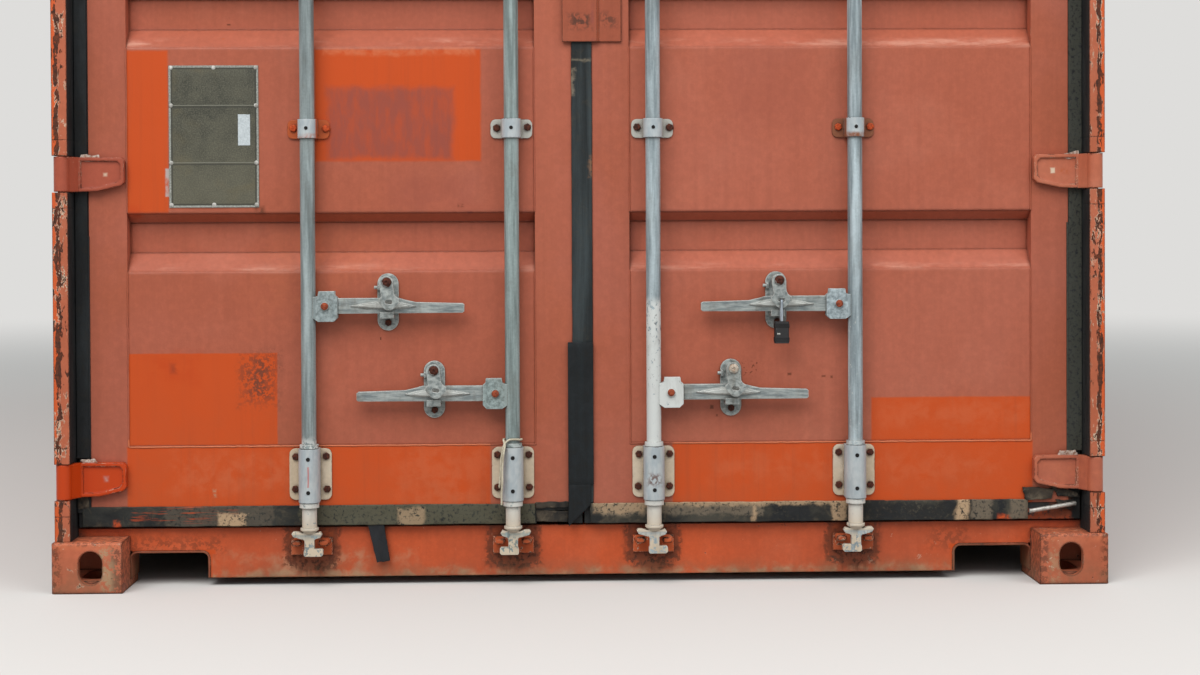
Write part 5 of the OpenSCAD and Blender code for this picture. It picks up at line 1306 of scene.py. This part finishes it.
finishPiece(joinPieces(bands), "lockBands", "padlock", makeRubber(
    "lockBandBlack", {"base": paint(20, 20, 22), "faded": paint(36, 36, 38), "dustAmount": 0.05}))
# two tiny pale studs on the lock's face stand in for a painted glint
glintStud = rivetShape(0.0022, 0.0012)
finishPiece(placeCopies(glintStud, s["glintStuds"]), "lockGlintStuds", "padlock", screwZinc)
bpy.data.objects.remove(glintStud)

# Weld beads round the panels and crumpled scraps of old sealant over the hinges
beadSettings = {"panelX": (0.1105, 1.055), "panelZ": (0.327, 2.276), "radius": 0.0019, "faceY": -2.954,
                "grooves": ((0.733, 0.87), (1.253, 1.39), (1.773, 1.91)), "step": 0.01}


def addBead(start, end, radius):
    length = (Vector(end) - Vector(start)).length
    count = max(3, int(length / beadSettings["step"]))
    selectNone()
    bpy.ops.mesh.primitive_cylinder_add(vertices=8, radius=radius, depth=length, location=(0, 0, 0))
    bead = bpy.context.object
    bpy.ops.object.mode_set(mode="EDIT")
    for k in range(1, count):
        bpy.ops.mesh.select_all(action="SELECT")
        bpy.ops.mesh.bisect(plane_co=(0, 0, -length / 2 + length * k / count), plane_no=(0, 0, 1))
    leaveEdit()
    bead.location = (Vector(start) + Vector(end)) / 2
    bead.rotation_euler = (Vector(end) - Vector(start)).to_track_quat("Z", "Y").to_euler()
    applyPlace(bead)
    crumple(bead, "small", radius * 1.1)
    return bead


beadPaint = makePaint("beadPaint", {**frameLook, "wear": 0.16, "edgeWear": 0.0, "grimeAndShade": 0.9, "areas": [
    (-1.059, -0.217, 0.31, 0.345, "smear", 0.004, 0.003, 1.0),
    (0.209, 1.058, 0.31, 0.345, "smear", 0.004, 0.003, 1.0)]})
s = beadSettings
for side, sign in (("left", -1), ("right", 1)):
    (innerX, outerX), (lowZ, highZ) = s["panelX"], s["panelZ"]
    beads = [addBead((sign * innerX, s["faceY"], z), (sign * outerX, s["faceY"], z), s["radius"])
             for z in (lowZ, highZ)]
    edges = [lowZ] + [z for pair in s["grooves"] for z in pair] + [highZ]
    for x in (innerX, outerX):
        for k in range(0, len(edges), 2):
            low, high = (sign * x, s["faceY"], edges[k]), (sign * x, s["faceY"], edges[k + 1])
            beads.append(addBead(low, high, s["radius"]))
    finishPiece(joinPieces(beads), f"{side}WeldBeads", f"{side}_door", beadPaint, 60)

scrapSettings = {"front": -2.969, "thick": 0.006, "net": 7, "crumple": 0.009, "fineCrumple": 0.0036}
scraps = [  # name, body, corners
    ("leftUpperScrap", "left_door", [(-1.156, 1.006), (-1.118, 1.004), (-1.116, 0.99), (-1.16, 0.99)]),
    ("leftLowerScrap", "left_door", [(-1.162, 0.301), (-1.13, 0.3), (-1.122, 0.286), (-1.16, 0.286)]),
    ("rightUpperScrap", "right_door", [(1.134, 1.003), (1.164, 1.006), (1.166, 0.99), (1.126, 0.99)]),
    ("rightLowerScrap", "right_door", [(1.12, 0.304), (1.156, 0.304), (1.166, 0.286), (1.112, 0.286)]),
]
sealantMaterial = makeRusty("oldSealant", paint(204, 192, 180), paint(150, 110, 88), paint(226, 222, 216), 0.6)
for name, body, corners in scraps:
    scrap = addQuad(corners, scrapSettings["front"], scrapSettings["thick"], scrapSettings["net"])
    crumple(scrap, "small", scrapSettings["crumple"])
    crumple(scrap, "fine", scrapSettings["fineCrumple"])
    finishPiece(scrap, name, body, sealantMaterial, 50)

# Loose metal bar at the right end of the foot seal, hollow at both ends
looseBarSettings = {
    "radius": 0.0052, "length": 0.112, "wall": 0.0009, "step": 0.0008, "hollow": 0.014, "round": 0.0005,
    "start": (1.048, -2.966, 0.162), "end": (1.158, -2.964, 0.179),
}
s = looseBarSettings
selectNone()
bpy.ops.mesh.primitive_cylinder_add(vertices=20, radius=s["radius"], depth=s["length"])
bar = bpy.context.object
pickFaces(bar, lambda normal: abs(normal.z) > 0.9)
bpy.ops.mesh.inset(thickness=s["wall"], depth=0)
bpy.ops.mesh.inset(thickness=s["step"], depth=-s["hollow"])
leaveEdit()
roundEdges(bar, s["round"])
barStart, barEnd = Vector(s["start"]), Vector(s["end"])
bar.location = (barStart + barEnd) / 2
bar.rotation_euler = (barEnd - barStart).to_track_quat("Z", "Y").to_euler()
applyPlace(bar)
finishPiece(bar, "looseBar", "right_door", makeZinc("barSteel", {
    "dark": paint(150, 146, 138), "light": paint(208, 206, 200), "scale": 120.0, "metal": 0.55, "gloss": 0.38,
    "grimeAndShade": 0.5}))
print("scraps done")
